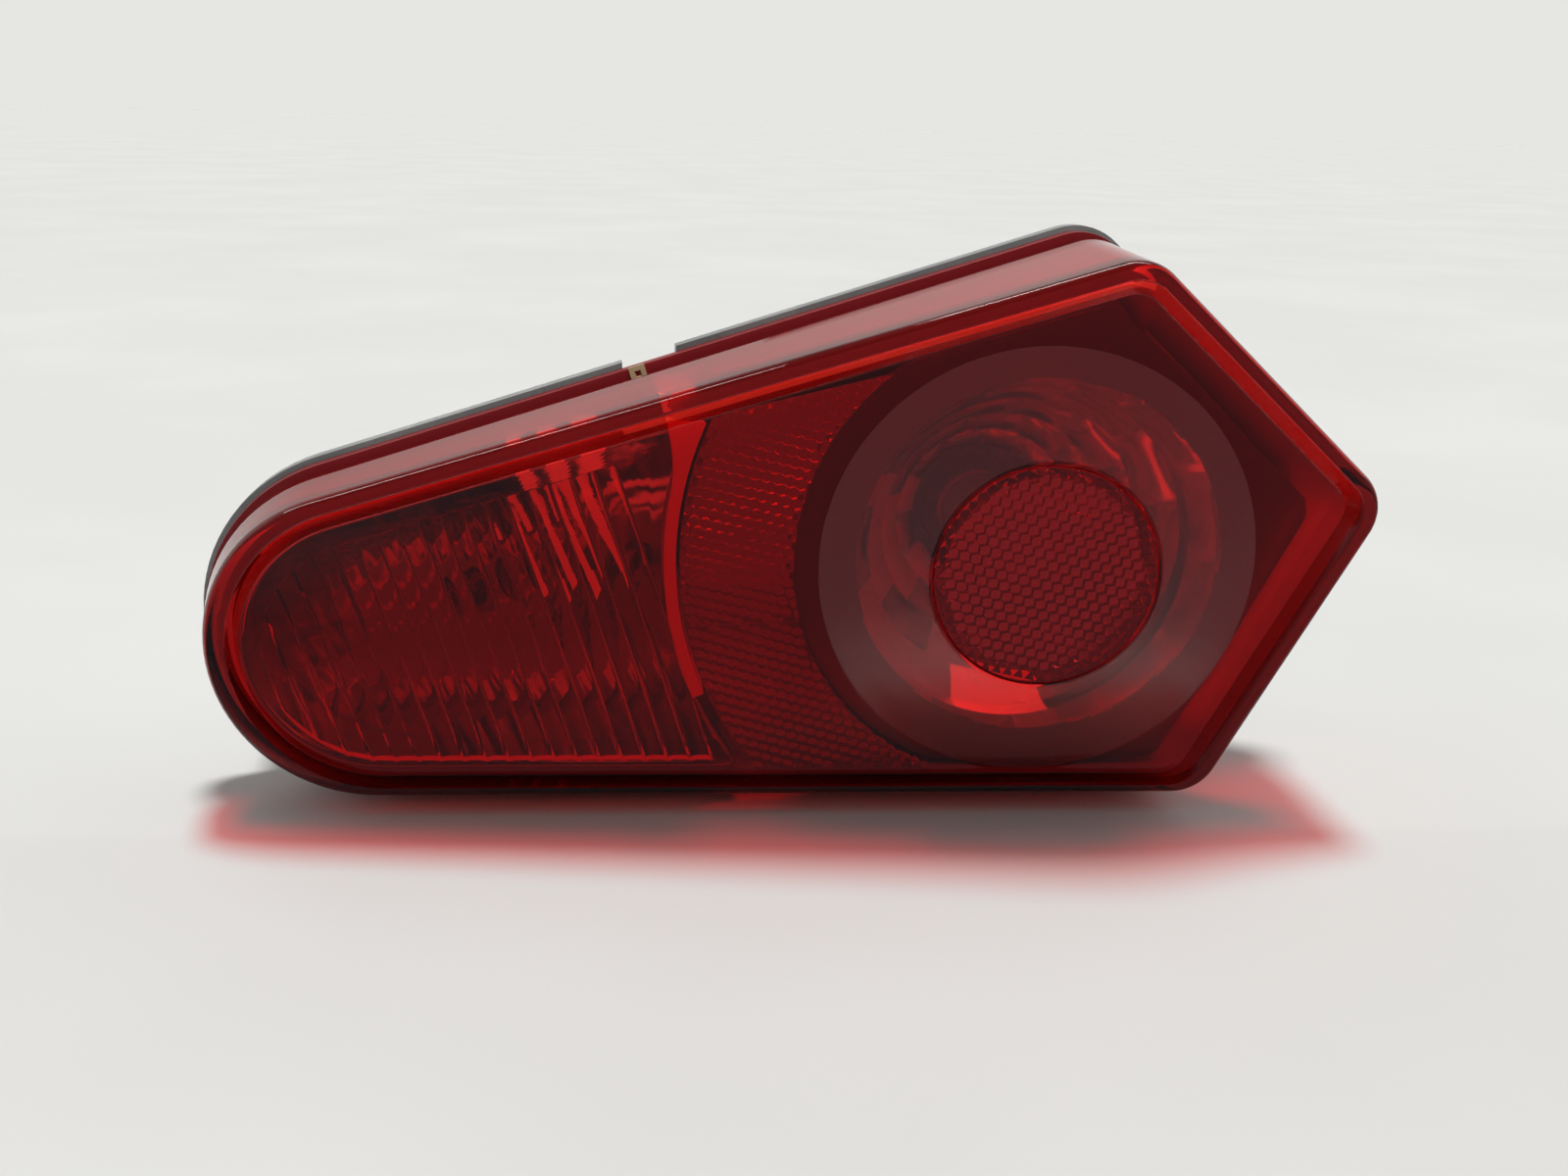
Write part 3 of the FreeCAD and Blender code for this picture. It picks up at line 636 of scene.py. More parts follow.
def plate_between(name: str, front: np.ndarray, back: np.ndarray, sharp: float = 32.0
                  ) -> bpy.types.Object:
    """Closed plate from two grids of points, a front and a back, joined round their edges.

    Args:
        name: object name.
        front: grid of points in front.
        back: grid of points behind.
        sharp: angle in degrees above which an edge stays sharp.

    Returns:
        The new object.
    """
    rows, columns = front.shape[:2]
    count = rows * columns
    top = grid_faces(rows, columns, False, False)
    number = np.arange(count).reshape(rows, columns)
    edge = np.concatenate([number[0, :-1], number[:-1, -1], number[-1, :0:-1], number[:0:-1, 0]])
    after = np.roll(edge, -1)
    wall = np.stack([edge, edge + count, after + count, after], axis=1)
    faces = np.vstack([top, top[:, ::-1] + count, wall])
    flat = np.vstack([front.reshape(-1, 3), back.reshape(-1, 3)])
    if signed_volume(flat - flat.mean(axis=0), faces) < 0:
        faces = faces[:, ::-1]
    return make_piece(name, flat, faces, sharp)


def applied(piece: bpy.types.Object) -> bpy.types.Object:
    """Replace a piece's mesh by what its modifiers make, and take them off.

    Args:
        piece: the piece.

    Returns:
        The same object.
    """
    view = bpy.context.evaluated_depsgraph_get()
    made = bpy.data.meshes.new_from_object(piece.evaluated_get(view))
    piece.modifiers.clear()
    piece.data = made
    return piece


def wear(piece: bpy.types.Object, *finishes: Finish) -> bpy.types.Object:
    """Give a piece its finishes, in the order of its material numbers.

    Args:
        piece: the piece.
        finishes: finishes in that order.

    Returns:
        The same object.
    """
    if piece.data.materials:
        piece.data.materials.clear()
    for finish in finishes:
        piece.data.materials.append(finish.build())
    return piece


def enlist(piece: bpy.types.Object, body: Body, slot: Slot, *replaced: str) -> None:
    """Let a piece ride on a body and stand for model nodes.

    Args:
        piece: the piece.
        body: body that it rides on.
        slot: not used.
        replaced: model nodes that it stands for.
    """
    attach(piece, body.value)
    if replaced:
        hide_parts(*replaced)
    LOG.info("%s rides on %s: %d faces", piece.name, body.value, len(piece.data.polygons))


def softened(name: str, node: str, width: float, sharp: float = 38.0) -> bpy.types.Object:
    """Copy of a model node with merged corners and rounded edges.

    Args:
        name: name of the new piece.
        node: model node to copy.
        width: width of the rounding in millimetres.
        sharp: angle in degrees above which an edge is rounded.

    Returns:
        The new object, with live Bevel and Weighted Normal modifiers.
    """
    mesh = frame["nodes"][node].data.copy()
    mesh.name = name
    piece = bpy.data.objects.new(name, mesh)
    bpy.context.scene.collection.objects.link(piece)
    weld = piece.modifiers.new("weld", "WELD")
    weld.merge_threshold = 0.002 * MM
    flat = piece.modifiers.new("flat_faces", "DECIMATE")
    flat.decimate_type = "DISSOLVE"
    flat.angle_limit = math.radians(1.5)
    applied(piece)
    piece.data.shade_smooth()
    bevel = piece.modifiers.new("rounding", "BEVEL")
    bevel.width = width * MM
    bevel.segments = 2
    bevel.limit_method = "ANGLE"
    bevel.angle_limit = math.radians(sharp)
    bevel.use_clamp_overlap = True
    bevel.harden_normals = True
    return piece


# --------------------------------------------------------------------------------------------
# Lens
# --------------------------------------------------------------------------------------------
@dataclass(frozen=True)
class RimBand:
    """One ring of the lens: its offsets, radii, rise over the face, and share of the flat level."""

    offsets: np.ndarray
    radii: np.ndarray
    rise: float
    drop: float = 0.0
    flat_y: float = 0.0


@dataclass
class Lens:
    """Red outer lens with its sunk face, brake cone, skirt and foot, and its inner optics."""

    wall: float = 2.5
    floor_inset: tuple[float, ...] = (3.2, 5.4, 5.2, 6.8)
    floor_radii: tuple[float, ...] = (6.5, 6.0, 6.0, 27.4)
    crest_inset: tuple[float, ...] = (2.3, 3.5, 3.5, 3.5)
    crest_radii: tuple[float, ...] = (8.0, 7.5, 7.5, 29.6)
    rim_rise: float = 4.0
    skirt_offset: float = 1.6
    skirt_end: float = -35.0
    groove_offset: float = 0.2
    foot_offset: float = 2.6
    foot_front: float = -28.5
    foot_back: float = -25.5
    skirt_inner: float = -1.4
    cone_r: float = 45.0
    plateau_r: float = 23.4
    seat_r: float = 22.8
    hole_r: float = 20.5
    plateau_rise: float = 6.84
    seat_depth: float = 2.0
    flute_pitch: float = 4.5
    flute_depth: float = 1.1
    flute_end: float = 0.7
    gate_along: float = -65.5
    # directions, in degrees about the brake axis, of the recess wall that gets the painted glow
    painted_glow_way: tuple[float, float] = (72.0, 163.0)
    window_insets: tuple[float, ...] = (5.7, 6.0, 6.0, 10.8)
    window_nose: float = 24.0
    window_arc: float = 75.6

    def band(self, offset: float, rise: float, drop: float = 0.0, flat_y: float = 0.0) -> RimBand:
        """Band moved out evenly.

        Args:
            offset: how far it is moved out.
            rise: height over the face.
            drop: share of the flat level in its depth.
            flat_y: y of the flat level.

        Returns:
            The band.
        """
        corner = max(OUTLINE.corner_r + offset, 1.5)
        radii = np.array([corner, corner, corner, OUTLINE.nose_r + offset])
        return RimBand(np.full(4, offset), radii, rise, drop, flat_y)

    def ring_points(self, band: RimBand) -> np.ndarray:
        """A band's ring: y runs from the leaning face to the flat level by the band's drop.

        Args:
            band: the band.

        Returns:
            Array of points in metres.
        """
        ring = OUTLINE.ring(band.offsets, band.radii)
        leaning = OUTLINE.face(ring[:, 0], band.rise)
        return OUTLINE.placed(ring, leaning * (1.0 - band.drop) + band.flat_y * band.drop)

    def between(self, low: RimBand, high: RimBand, shares: np.ndarray, rises: np.ndarray
                ) -> list[RimBand]:
        """Bands whose offsets are mixed from two bands by shares, at given rises.

        Args:
            low: first band.
            high: second band.
            shares: share of the second band, for each new one.
            rises: rise of each new band.

        Returns:
            The new bands.
        """
        return [RimBand(low.offsets + (high.offsets - low.offsets) * share,
                        low.radii + (high.radii - low.radii) * share, rise)
                for share, rise in zip(shares, rises)]

    def rim_bands(self) -> list[RimBand]:
        """Recess wall and rim, from the floor's edge over the crest to the shoulder.

        The recess wall rises straight between two small fillets; the crest is a quarter ellipse
        on the outside, offset = -1 + sin t, rise = 2 + 2 cos t, and a smaller one inside.

        Returns:
            Bands from the inside out.
        """
        floor = RimBand(-np.array(self.floor_inset), np.array(self.floor_radii), 0.0)
        crest = RimBand(-np.array(self.crest_inset), np.array(self.crest_radii), self.rim_rise)
        shares = np.array([-0.12, 0.0, 0.06, 0.16, 0.5, 0.84, 0.95, 1.03, 1.14])
        rises = np.array([0.0, 0.10, 0.32, 0.7, 2.0, 3.3, 3.68, 3.9, 4.0])
        bands = self.between(floor, crest, shares, rises)
        turn = np.linspace(0.0, math.pi / 2, 7)
        bands += [self.band(-1.6 + 1.6 * math.sin(t), 1.6 + 2.4 * math.cos(t)) for t in turn]
        return bands

    def skirt_bands(self) -> list[RimBand]:
        """Drafted skirt, groove and foot, from the shoulder to the lens's inner edge.

        Returns:
            Bands from front to back.
        """
        bands = []
        for share in (0.08, 0.3, 0.55, 0.8, 0.97):
            bands.append(self.band(self.skirt_offset * share, 1.6, share, self.skirt_end))
        end, front, back = self.skirt_end, self.foot_front, self.foot_back
        skirt, groove, foot = self.skirt_offset, self.groove_offset, self.foot_offset
        corners = ((skirt, end - 0.5), (skirt - 0.15, end - 0.12), (skirt - 0.5, end),
                   (groove + 0.4, end), (groove + 0.1, end + 0.1), (groove, end + 0.4),
                   (groove, front - 0.4), (groove + 0.1, front - 0.1), (groove + 0.4, front),
                   (foot - 0.3, front), (foot - 0.08, front + 0.08), (foot, front + 0.3),
                   (foot, back - 0.2), (foot - 0.2, back), (self.skirt_inner, back))
        return bands + [self.band(offset, 0.0, 1.0, y) for offset, y in corners]

    def circle(self, directions: np.ndarray, radius: float, rise: float) -> np.ndarray:
        """Ring about the face normal, on the plane rise in front of the face floor.

        Args:
            directions: direction of each point in radians.
            radius: radius in millimetres.
            rise: height over the face.

        Returns:
            Array of points in metres.
        """
        local = np.stack([radius * np.cos(directions), np.full(directions.shape, -rise),
                          radius * np.sin(directions)], axis=1)
        return OUTLINE.on_face(local)

    def shell(self) -> bpy.types.Object:
        """One closed skin of rings, from the disc's seat out over the rim and back inside.

        Returns:
            The shell, with a material number for each face.
        """
        rim = self.rim_bands()
        floor_ring = OUTLINE.ring(rim[0].offsets, rim[0].radii)
        way = np.arctan2(floor_ring[:, 1], floor_ring[:, 0])
        top, inner = self.plateau_rise, self.plateau_rise - self.wall
        seat = top - self.seat_depth
        profile = [(self.hole_r, seat), (self.seat_r - 0.2, seat), (self.seat_r, seat + 0.2),
                   (self.seat_r, top - 0.15), (self.seat_r + 0.15, top),
                   (self.plateau_r - 0.1, top), (self.plateau_r + 0.25, top - 0.12)]
        slope = top / (self.cone_r - self.plateau_r)
        for radius in np.linspace(self.plateau_r + 1.2, self.cone_r - 1.6, 12):
            profile.append((radius, (self.cone_r - radius) * slope))
        profile += [(self.cone_r - 0.6, 0.24), (self.cone_r, 0.06), (self.cone_r + 0.6, 0.0)]
        rings = [self.circle(way, radius, rise) for radius, rise in profile]
        frost_rows = (6, len(rings) - 2)
        rings += [self.ring_points(band) for band in rim + self.skirt_bands()]
        inside = [self.band(self.skirt_inner, 0.0, 1.0, self.skirt_end),
                  self.band(-1.9, -self.wall - 2.0), self.band(-2.6, -self.wall - 0.6),
                  self.band(-4.0, -self.wall)]
        satin_rows = (len(rings) - 15, len(rings) + len(inside) - 1)
        rings += [self.ring_points(band) for band in inside]
        back_profile = [(self.cone_r - 0.6, -self.wall), (self.cone_r - 2.2, -self.wall + 0.5),
                        (self.plateau_r + 0.3, inner - 0.5), (self.plateau_r - 1.2, inner),
                        (self.hole_r, inner)]
        rings += [self.circle(way, radius, rise) for radius, rise in back_profile]
        piece = closed_sweep("lens_shell", rings, 24.0)
        columns = len(way)
        rows = np.arange(len(piece.data.polygons)) // columns
        number = np.where((rows >= frost_rows[0]) & (rows < frost_rows[1]), 1, 0)
        number[(rows >= satin_rows[0]) & (rows < satin_rows[1])] = 2
        first = len(profile)
        # Two rows of the recess wall on the top side take the glowing finish: painted light, not a lamp
        wall = (rows >= first + 4) & (rows < first + 6)
        column = np.arange(len(piece.data.polygons)) % columns
        low, high = np.radians(self.painted_glow_way)
        painted_glow_side = (way[column] > low) & (way[column] < high)
        number[wall & painted_glow_side] = 3
        piece.data.polygons.foreach_set("material_index", number.astype(np.int32))
        return piece

    def gate(self) -> bpy.types.Object:
        """Small square frame on the foot where the lens was fed, level with the top side.

        Returns:
            The frame.
        """
        top = math.radians(OUTLINE.angles[3])
        out = np.array([math.cos(top), math.sin(top)])
        level = OUTLINE.reaches[3] + self.foot_offset - 1.5
        middle = out * level + np.array([out[1], -out[0]]) * self.gate_along
        square = np.array([[1, 1], [-1, 1], [-1, -1], [1, -1]]) @ np.array([[out[1], -out[0]], out])
        rings = []
        for half, y in ((1.7, -0.55), (0.7, -0.55), (0.5, -0.1), (1.7, -0.1)):
            rings.append(OUTLINE.placed(middle + square * half, self.foot_front + y))
        return closed_sweep("lens_gate_frame", rings)

    def window_chains(self) -> tuple[np.ndarray, np.ndarray, float, float]:
        """Lower and upper edge of the fluted window over the distance across the flutes.

        Distances run across the flutes (s) and along them (t), about the brake axis.  The window
        is the part of an inset outline left of the flute line that touches the window's arc.

        Returns:
            Two arrays of (s, t), sorted by s, and the lowest and highest s.
        """
        ring = OUTLINE.ring([-inset for inset in self.window_insets],
                            (5.0, 5.0, 5.0, self.window_nose))
        across, along = self.flute_axes()
        s, t = ring @ across, ring @ along
        first, last = int(np.argmin(s)), int(np.argmax(s))
        loop = np.roll(np.arange(len(s)), -first)
        cut = int(np.where(loop == last)[0][0])
        one, other = loop[:cut + 1], np.append(loop[cut:], first)
        chains = []
        for index in (one, other):
            order = index[np.argsort(s[index])]
            chains.append(np.stack([s[order], t[order]], axis=1))
        chains.sort(key=lambda chain: chain[:, 1].mean())
        return chains[0], chains[1], float(s[first]), -self.window_arc

    def flute_axes(self) -> tuple[np.ndarray, np.ndarray]:
        """Unit vectors across and along the flutes, which stand square to the top side.

        Returns:
            The unit vector across, and the one along.
        """
        top = math.radians(OUTLINE.angles[3])
        along = np.array([math.cos(top), math.sin(top)])
        return np.array([along[1], -along[0]]), along

    def flutes(self) -> bpy.types.Object:
        """Fluted plate behind the tail window.

        Its front is flat, behind the face.  Its back stands out by depth times the square root of
        one minus the square of the distance from the nearest flute's crest, which makes round
        flutes that meet in sharp valleys, and falls off at both ends of each flute.

        Returns:
            The plate.
        """
        low, high, s_low, s_high = self.window_chains()
        across, along = self.flute_axes()
        count = int((s_high - s_low) / self.flute_pitch) * 10 + 1
        s = np.linspace(s_low + 0.6, s_high, count)
        t_low = np.interp(s, low[:, 0], low[:, 1])
        t_high = np.interp(s, high[:, 0], high[:, 1])
        share = np.concatenate([[0.0, 0.0], np.linspace(0.02, 0.99, 20), [0.996, 1.0]])
        t = t_low[:, None] + (t_high - t_low)[:, None] * share
        t[:, 1] += self.flute_end
        phase = (s - s_high) / self.flute_pitch
        crest = np.sqrt(np.clip(1.0 - (2.0 * (phase - np.floor(phase)) - 1.0) ** 2, 0.0, 1.0))
        x = s[:, None] * across[0] + t * along[0]
        z = s[:, None] * across[1] + t * along[1]
        fade = np.ones(len(share))
        fade[[0, -1]] = 0.0
        deep = self.wall + 0.08
        thick = 0.7 + self.flute_depth * crest[:, None] * fade
        front = OUTLINE.on_face(np.stack([x, np.full_like(x, deep), z], axis=-1))
        back = OUTLINE.on_face(np.stack([x, deep + thick * np.ones_like(x), z], axis=-1))
        piece = plate_between("tail_window_flutes", front, back, 40.0)
        # The ramp at the low end of each flute's back takes an opaque pale finish: a painted highlight for
        # the glint of the clear flute ends
        ends = np.zeros(len(piece.data.polygons), dtype=np.int32)
        quads = (len(s) - 1) * (len(share) - 1)
        ends[quads:2 * quads] = np.tile(np.arange(len(share) - 1) == 0, len(s) - 1)
        piece.data.polygons.foreach_set("material_index", ends)
        return piece

    def build(self) -> None:
        """Make the lens's pieces and dress them."""
        shell = wear(self.shell(), LENS_CLEAR, LENS_FROST, LENS_SATIN, LENS_PAINTED_GLOW)
        enlist(shell, Body.LAMP, Slot.RED_LENS, "lens")
        enlist(wear(self.gate(), GATE_CREAM), Body.LAMP, Slot.RED_LENS)
        enlist(wear(self.flutes(), FLUTE_CLEAR, RIB_PALE), Body.LAMP, Slot.RED_LENS)


# --------------------------------------------------------------------------------------------
# Reflex reflectors
# --------------------------------------------------------------------------------------------
@dataclass
class ReflexCells:
    """Reflex inserts: clear red plates with cube corners moulded into their backs."""

    cell: float = 2.4
    plate: float = 1.0
    disc_r: float = 22.7
    disc_rise: float = 6.84
    crescent_in: float = 49.8
    crescent_out: float = 72.95
    right_top: float = -31.0
    right_low: float = -15.0
    insets: tuple[float, ...] = (3.4, 7.0, 9.0, 6.95)
    crescent_deep: float = 2.6

    def block(self, name: str, centre: tuple[float, float], half: tuple[float, float],
              front: float, turn: float) -> bpy.types.Object:
        """Block with a flat front and a back of cube corners, in the face's frame.

        The back is the skin of stacked cubes seen along their diagonal: over a triangular lattice
        of points (i, j) with spacing cell / sqrt(3), the depth is that spacing over sqrt(2) times
        (i - j) modulo 3, taken as 0, 1, 2, and each cell has three square faces.

        Args:
            name: object name.
            centre: middle of the block, (x, z).
            half: half sizes.
            front: depth of the flat front behind the face floor.
            turn: turn of the lattice in degrees.

        Returns:
            A closed object.
        """
        side = self.cell / math.sqrt(3.0)
        step = side / math.sqrt(2.0)
        count = int(max(half) / side * 1.6) + 4
        i, j = np.meshgrid(np.arange(-count, count + 1), np.arange(-count, count + 1),
                           indexing="ij")
        kind = (i - j) % 3
        angle = math.radians(turn)
        flat_x = side * (i + 0.5 * j)
        flat_z = side * (math.sqrt(3.0) / 2.0) * j
        x = centre[0] + flat_x * math.cos(angle) - flat_z * math.sin(angle)
        z = centre[1] + flat_x * math.sin(angle) + flat_z * math.cos(angle)
        deep = front + self.plate + step * (2 - kind)
        back = np.stack([x, deep, z], axis=-1)
        ahead = np.stack([x, np.full_like(x, front), z], axis=-1)
        width = 2 * count + 1
        number = np.arange(width * width).reshape(width, width)
        inner = np.zeros(kind.shape, dtype=bool)
        inner[1:-1, 1:-1] = kind[1:-1, 1:-1] == 0
        ci, cj = np.where(inner)
        rim = ((1, 0), (0, 1), (-1, 1), (-1, 0), (0, -1), (1, -1))
        quads = []
        for start in (0, 2, 4):
            around = [rim[(start + step_on) % 6] for step_on in range(3)]
            corners = [number[ci, cj]] + [number[ci + a, cj + b] for a, b in around]
            quads.append(np.stack(corners, axis=1))
        faces = np.vstack(quads)
        used = np.unique(faces)
        remap = np.zeros(width * width, dtype=int)
        remap[used] = np.arange(len(used))
        faces = remap[faces]
        size = len(used)
        top = back.reshape(-1, 3)[used]
        base = ahead.reshape(-1, 3)[used]
        edges = np.vstack([faces[:, [k, (k + 1) % 4]] for k in range(4)])
        lone = ~np.isin(edges[:, 0] * size + edges[:, 1], edges[:, 1] * size + edges[:, 0])
        border = edges[lone]
        wall = np.stack([border[:, 1], border[:, 0], border[:, 0] + size, border[:, 1] + size],
                        axis=1)
        points = OUTLINE.on_face(np.vstack([top, base]))
        solid = np.vstack([faces, faces[:, ::-1] + size, wall])
        if signed_volume(points - points.mean(axis=0), solid) < 0:
            solid = solid[:, ::-1]
        return make_piece(name, points, solid, 10.0)

    def trim(self, piece: bpy.types.Object, cutter: bpy.types.Object) -> bpy.types.Object:
        """Keep what of a piece lies inside a cutter.

        Args:
            piece: the piece.
            cutter: closed object, which is removed.

        Returns:
            The trimmed piece, whose cells have material number 1.
        """
        cut = piece.modifiers.new("trim", "BOOLEAN")
        cut.operation = "INTERSECT"
        cut.object = cutter
        cut.solver = "EXACT"
        applied(piece)
        bpy.data.objects.remove(cutter)
        piece.data.shade_smooth()
        piece.data.set_sharp_from_angle(angle=math.radians(10.0))
        normals = np.zeros(len(piece.data.polygons) * 3)
        piece.data.polygons.foreach_get("normal", normals)
        forward = OUTLINE.on_face(np.array([0.0, -1.0, 0.0])) - OUTLINE.on_face(np.zeros(3))
        cells = normals.reshape(-1, 3) @ forward < 0.97 * MM
        piece.data.polygons.foreach_set("material_index", cells.astype(np.int32))
        return piece

    def disc(self) -> bpy.types.Object:
        """Round insert on top of the brake cone.

        Returns:
            The trimmed disc.
        """
        front = -self.disc_rise
        cells = self.block("reflex_disc_cells", (0.0, 0.0), (26.0, 26.0), front, 17.0)
        turn = np.linspace(0.0, 2 * math.pi, 128, endpoint=False)
        rings = []
        for radius, deep in ((self.disc_r - 0.25, front - 0.0), (self.disc_r, front + 0.25),
                             (self.disc_r, front + 1.9), (self.disc_r - 2.4, front + 2.0),
                             (self.disc_r - 2.4, front + 4.6)):
            local = np.stack([radius * np.cos(turn), np.full_like(turn, deep),
                              radius * np.sin(turn)], axis=1)
            rings.append(OUTLINE.on_face(local))
        return self.trim(cells, closed_sweep("disc_cutter", rings, torus=False))

    def crescent_zone(self, name: str, low: float, high: float, turn: float
                      ) -> bpy.types.Object:
        """Part of the crescent between two directions, with its own turn of the lattice.

        Args:
            name: object name.
            low: share of the way down the crescent where the zone starts.
            high: share where it ends.
            turn: turn of the lattice in degrees.

        Returns:
            A closed plate with cube corners behind.
        """
        front = self.crescent_deep
        outer, inner = self.arcs()
        start, end = int(low * 99), int(high * 99) + 1
        outer, inner = outer[start:end], inner[start:end]
        loop = np.concatenate([outer, inner])
        middle = (loop.max(axis=0) + loop.min(axis=0)) / 2
        half = (loop.max(axis=0) - loop.min(axis=0)) / 2 + 3.0
        cells = self.block(name, tuple(middle), tuple(half), front, turn)
        share = np.linspace(0.0, 1.0, 9)[:, None, None]
        band = outer * (1 - share) + inner * share
        sheets = []
        for deep in (front + 0.02, front + 6.0):
            local = np.stack([band[..., 0], np.full(band.shape[:2], deep), band[..., 1]], axis=-1)
            sheets.append(OUTLINE.on_face(local))
        return self.trim(cells, plate_between(name + "_cutter", *sheets))

    def edge_height(self, ring: np.ndarray, upper: bool) -> Level:
        """Height of the ring's upper or lower edge over x.

        Args:
            ring: points (x, z) of the ring.
            upper: whether the upper edge is meant.

        Returns:
            A function that gives the height for any x.
        """
        part = ring[(ring[:, 1] > 0) == upper]
        part = part[np.argsort(part[:, 0])]
        return lambda x: np.interp(x, part[:, 0], part[:, 1])

    def arcs(self) -> tuple[np.ndarray, np.ndarray]:
        """Outer and inner edge of the crescent, from its top to its low end, 100 points each.

        Returns:
            Two arrays of (x, z).
        """
        ring = OUTLINE.ring([-inset for inset in self.insets], (5.0, 5.0, 5.0, 26.8))
        top = self.edge_height(ring, True)
        low = self.edge_height(ring, False)

        def crossing(radius: float, edge: Level, sign: float) -> float:
            """Angle where a circle meets an edge.

            Args:
                radius: radius in millimetres.
                edge: height of the edge over x.
                sign: 1 above the axis, -1 below it.

            Returns:
                The angle in radians.
            """
            turn = np.linspace(math.pi / 2, math.pi, 2000) * sign
            x, z = radius * np.cos(turn), radius * np.sin(turn)
            return float(turn[np.argmax((edge(x) - z) * sign > 0)])

        outer_top = crossing(self.crescent_out, top, 1.0)
        outer_low = crossing(self.crescent_out, low, -1.0)
        inner_top = crossing(self.crescent_in, top, 1.0)
        inner_low = crossing(self.crescent_in, low, -1.0)
        inner_top = max(inner_top, math.acos(self.right_top / self.crescent_in))
        inner_low = min(inner_low, -math.acos(self.right_low / self.crescent_in))
        out = np.linspace(outer_top, outer_low + 2 * math.pi, 100)
        back = np.linspace(inner_top, inner_low + 2 * math.pi, 100)
        return (self.crescent_out * np.stack([np.cos(out), np.sin(out)], axis=1),
                self.crescent_in * np.stack([np.cos(back), np.sin(back)], axis=1))

    def build(self) -> None:
        """Make the disc and both zones of the crescent, and dress them."""
        enlist(wear(self.disc(), REFLEX, REFLEX_CELLS), Body.LAMP, Slot.RED_REFLEX, "reflex_disc")
        upper = self.crescent_zone("reflex_crescent_upper_cells", 0.0, 0.56, 17.0)
        enlist(wear(upper, REFLEX, REFLEX_CELLS), Body.LAMP, Slot.RED_REFLEX, "reflex_crescent")
        lower = self.crescent_zone("reflex_crescent_lower_cells", 0.56, 1.0, 14.0)
        enlist(wear(lower, REFLEX, REFLEX_CELLS), Body.LAMP, Slot.RED_REFLEX)


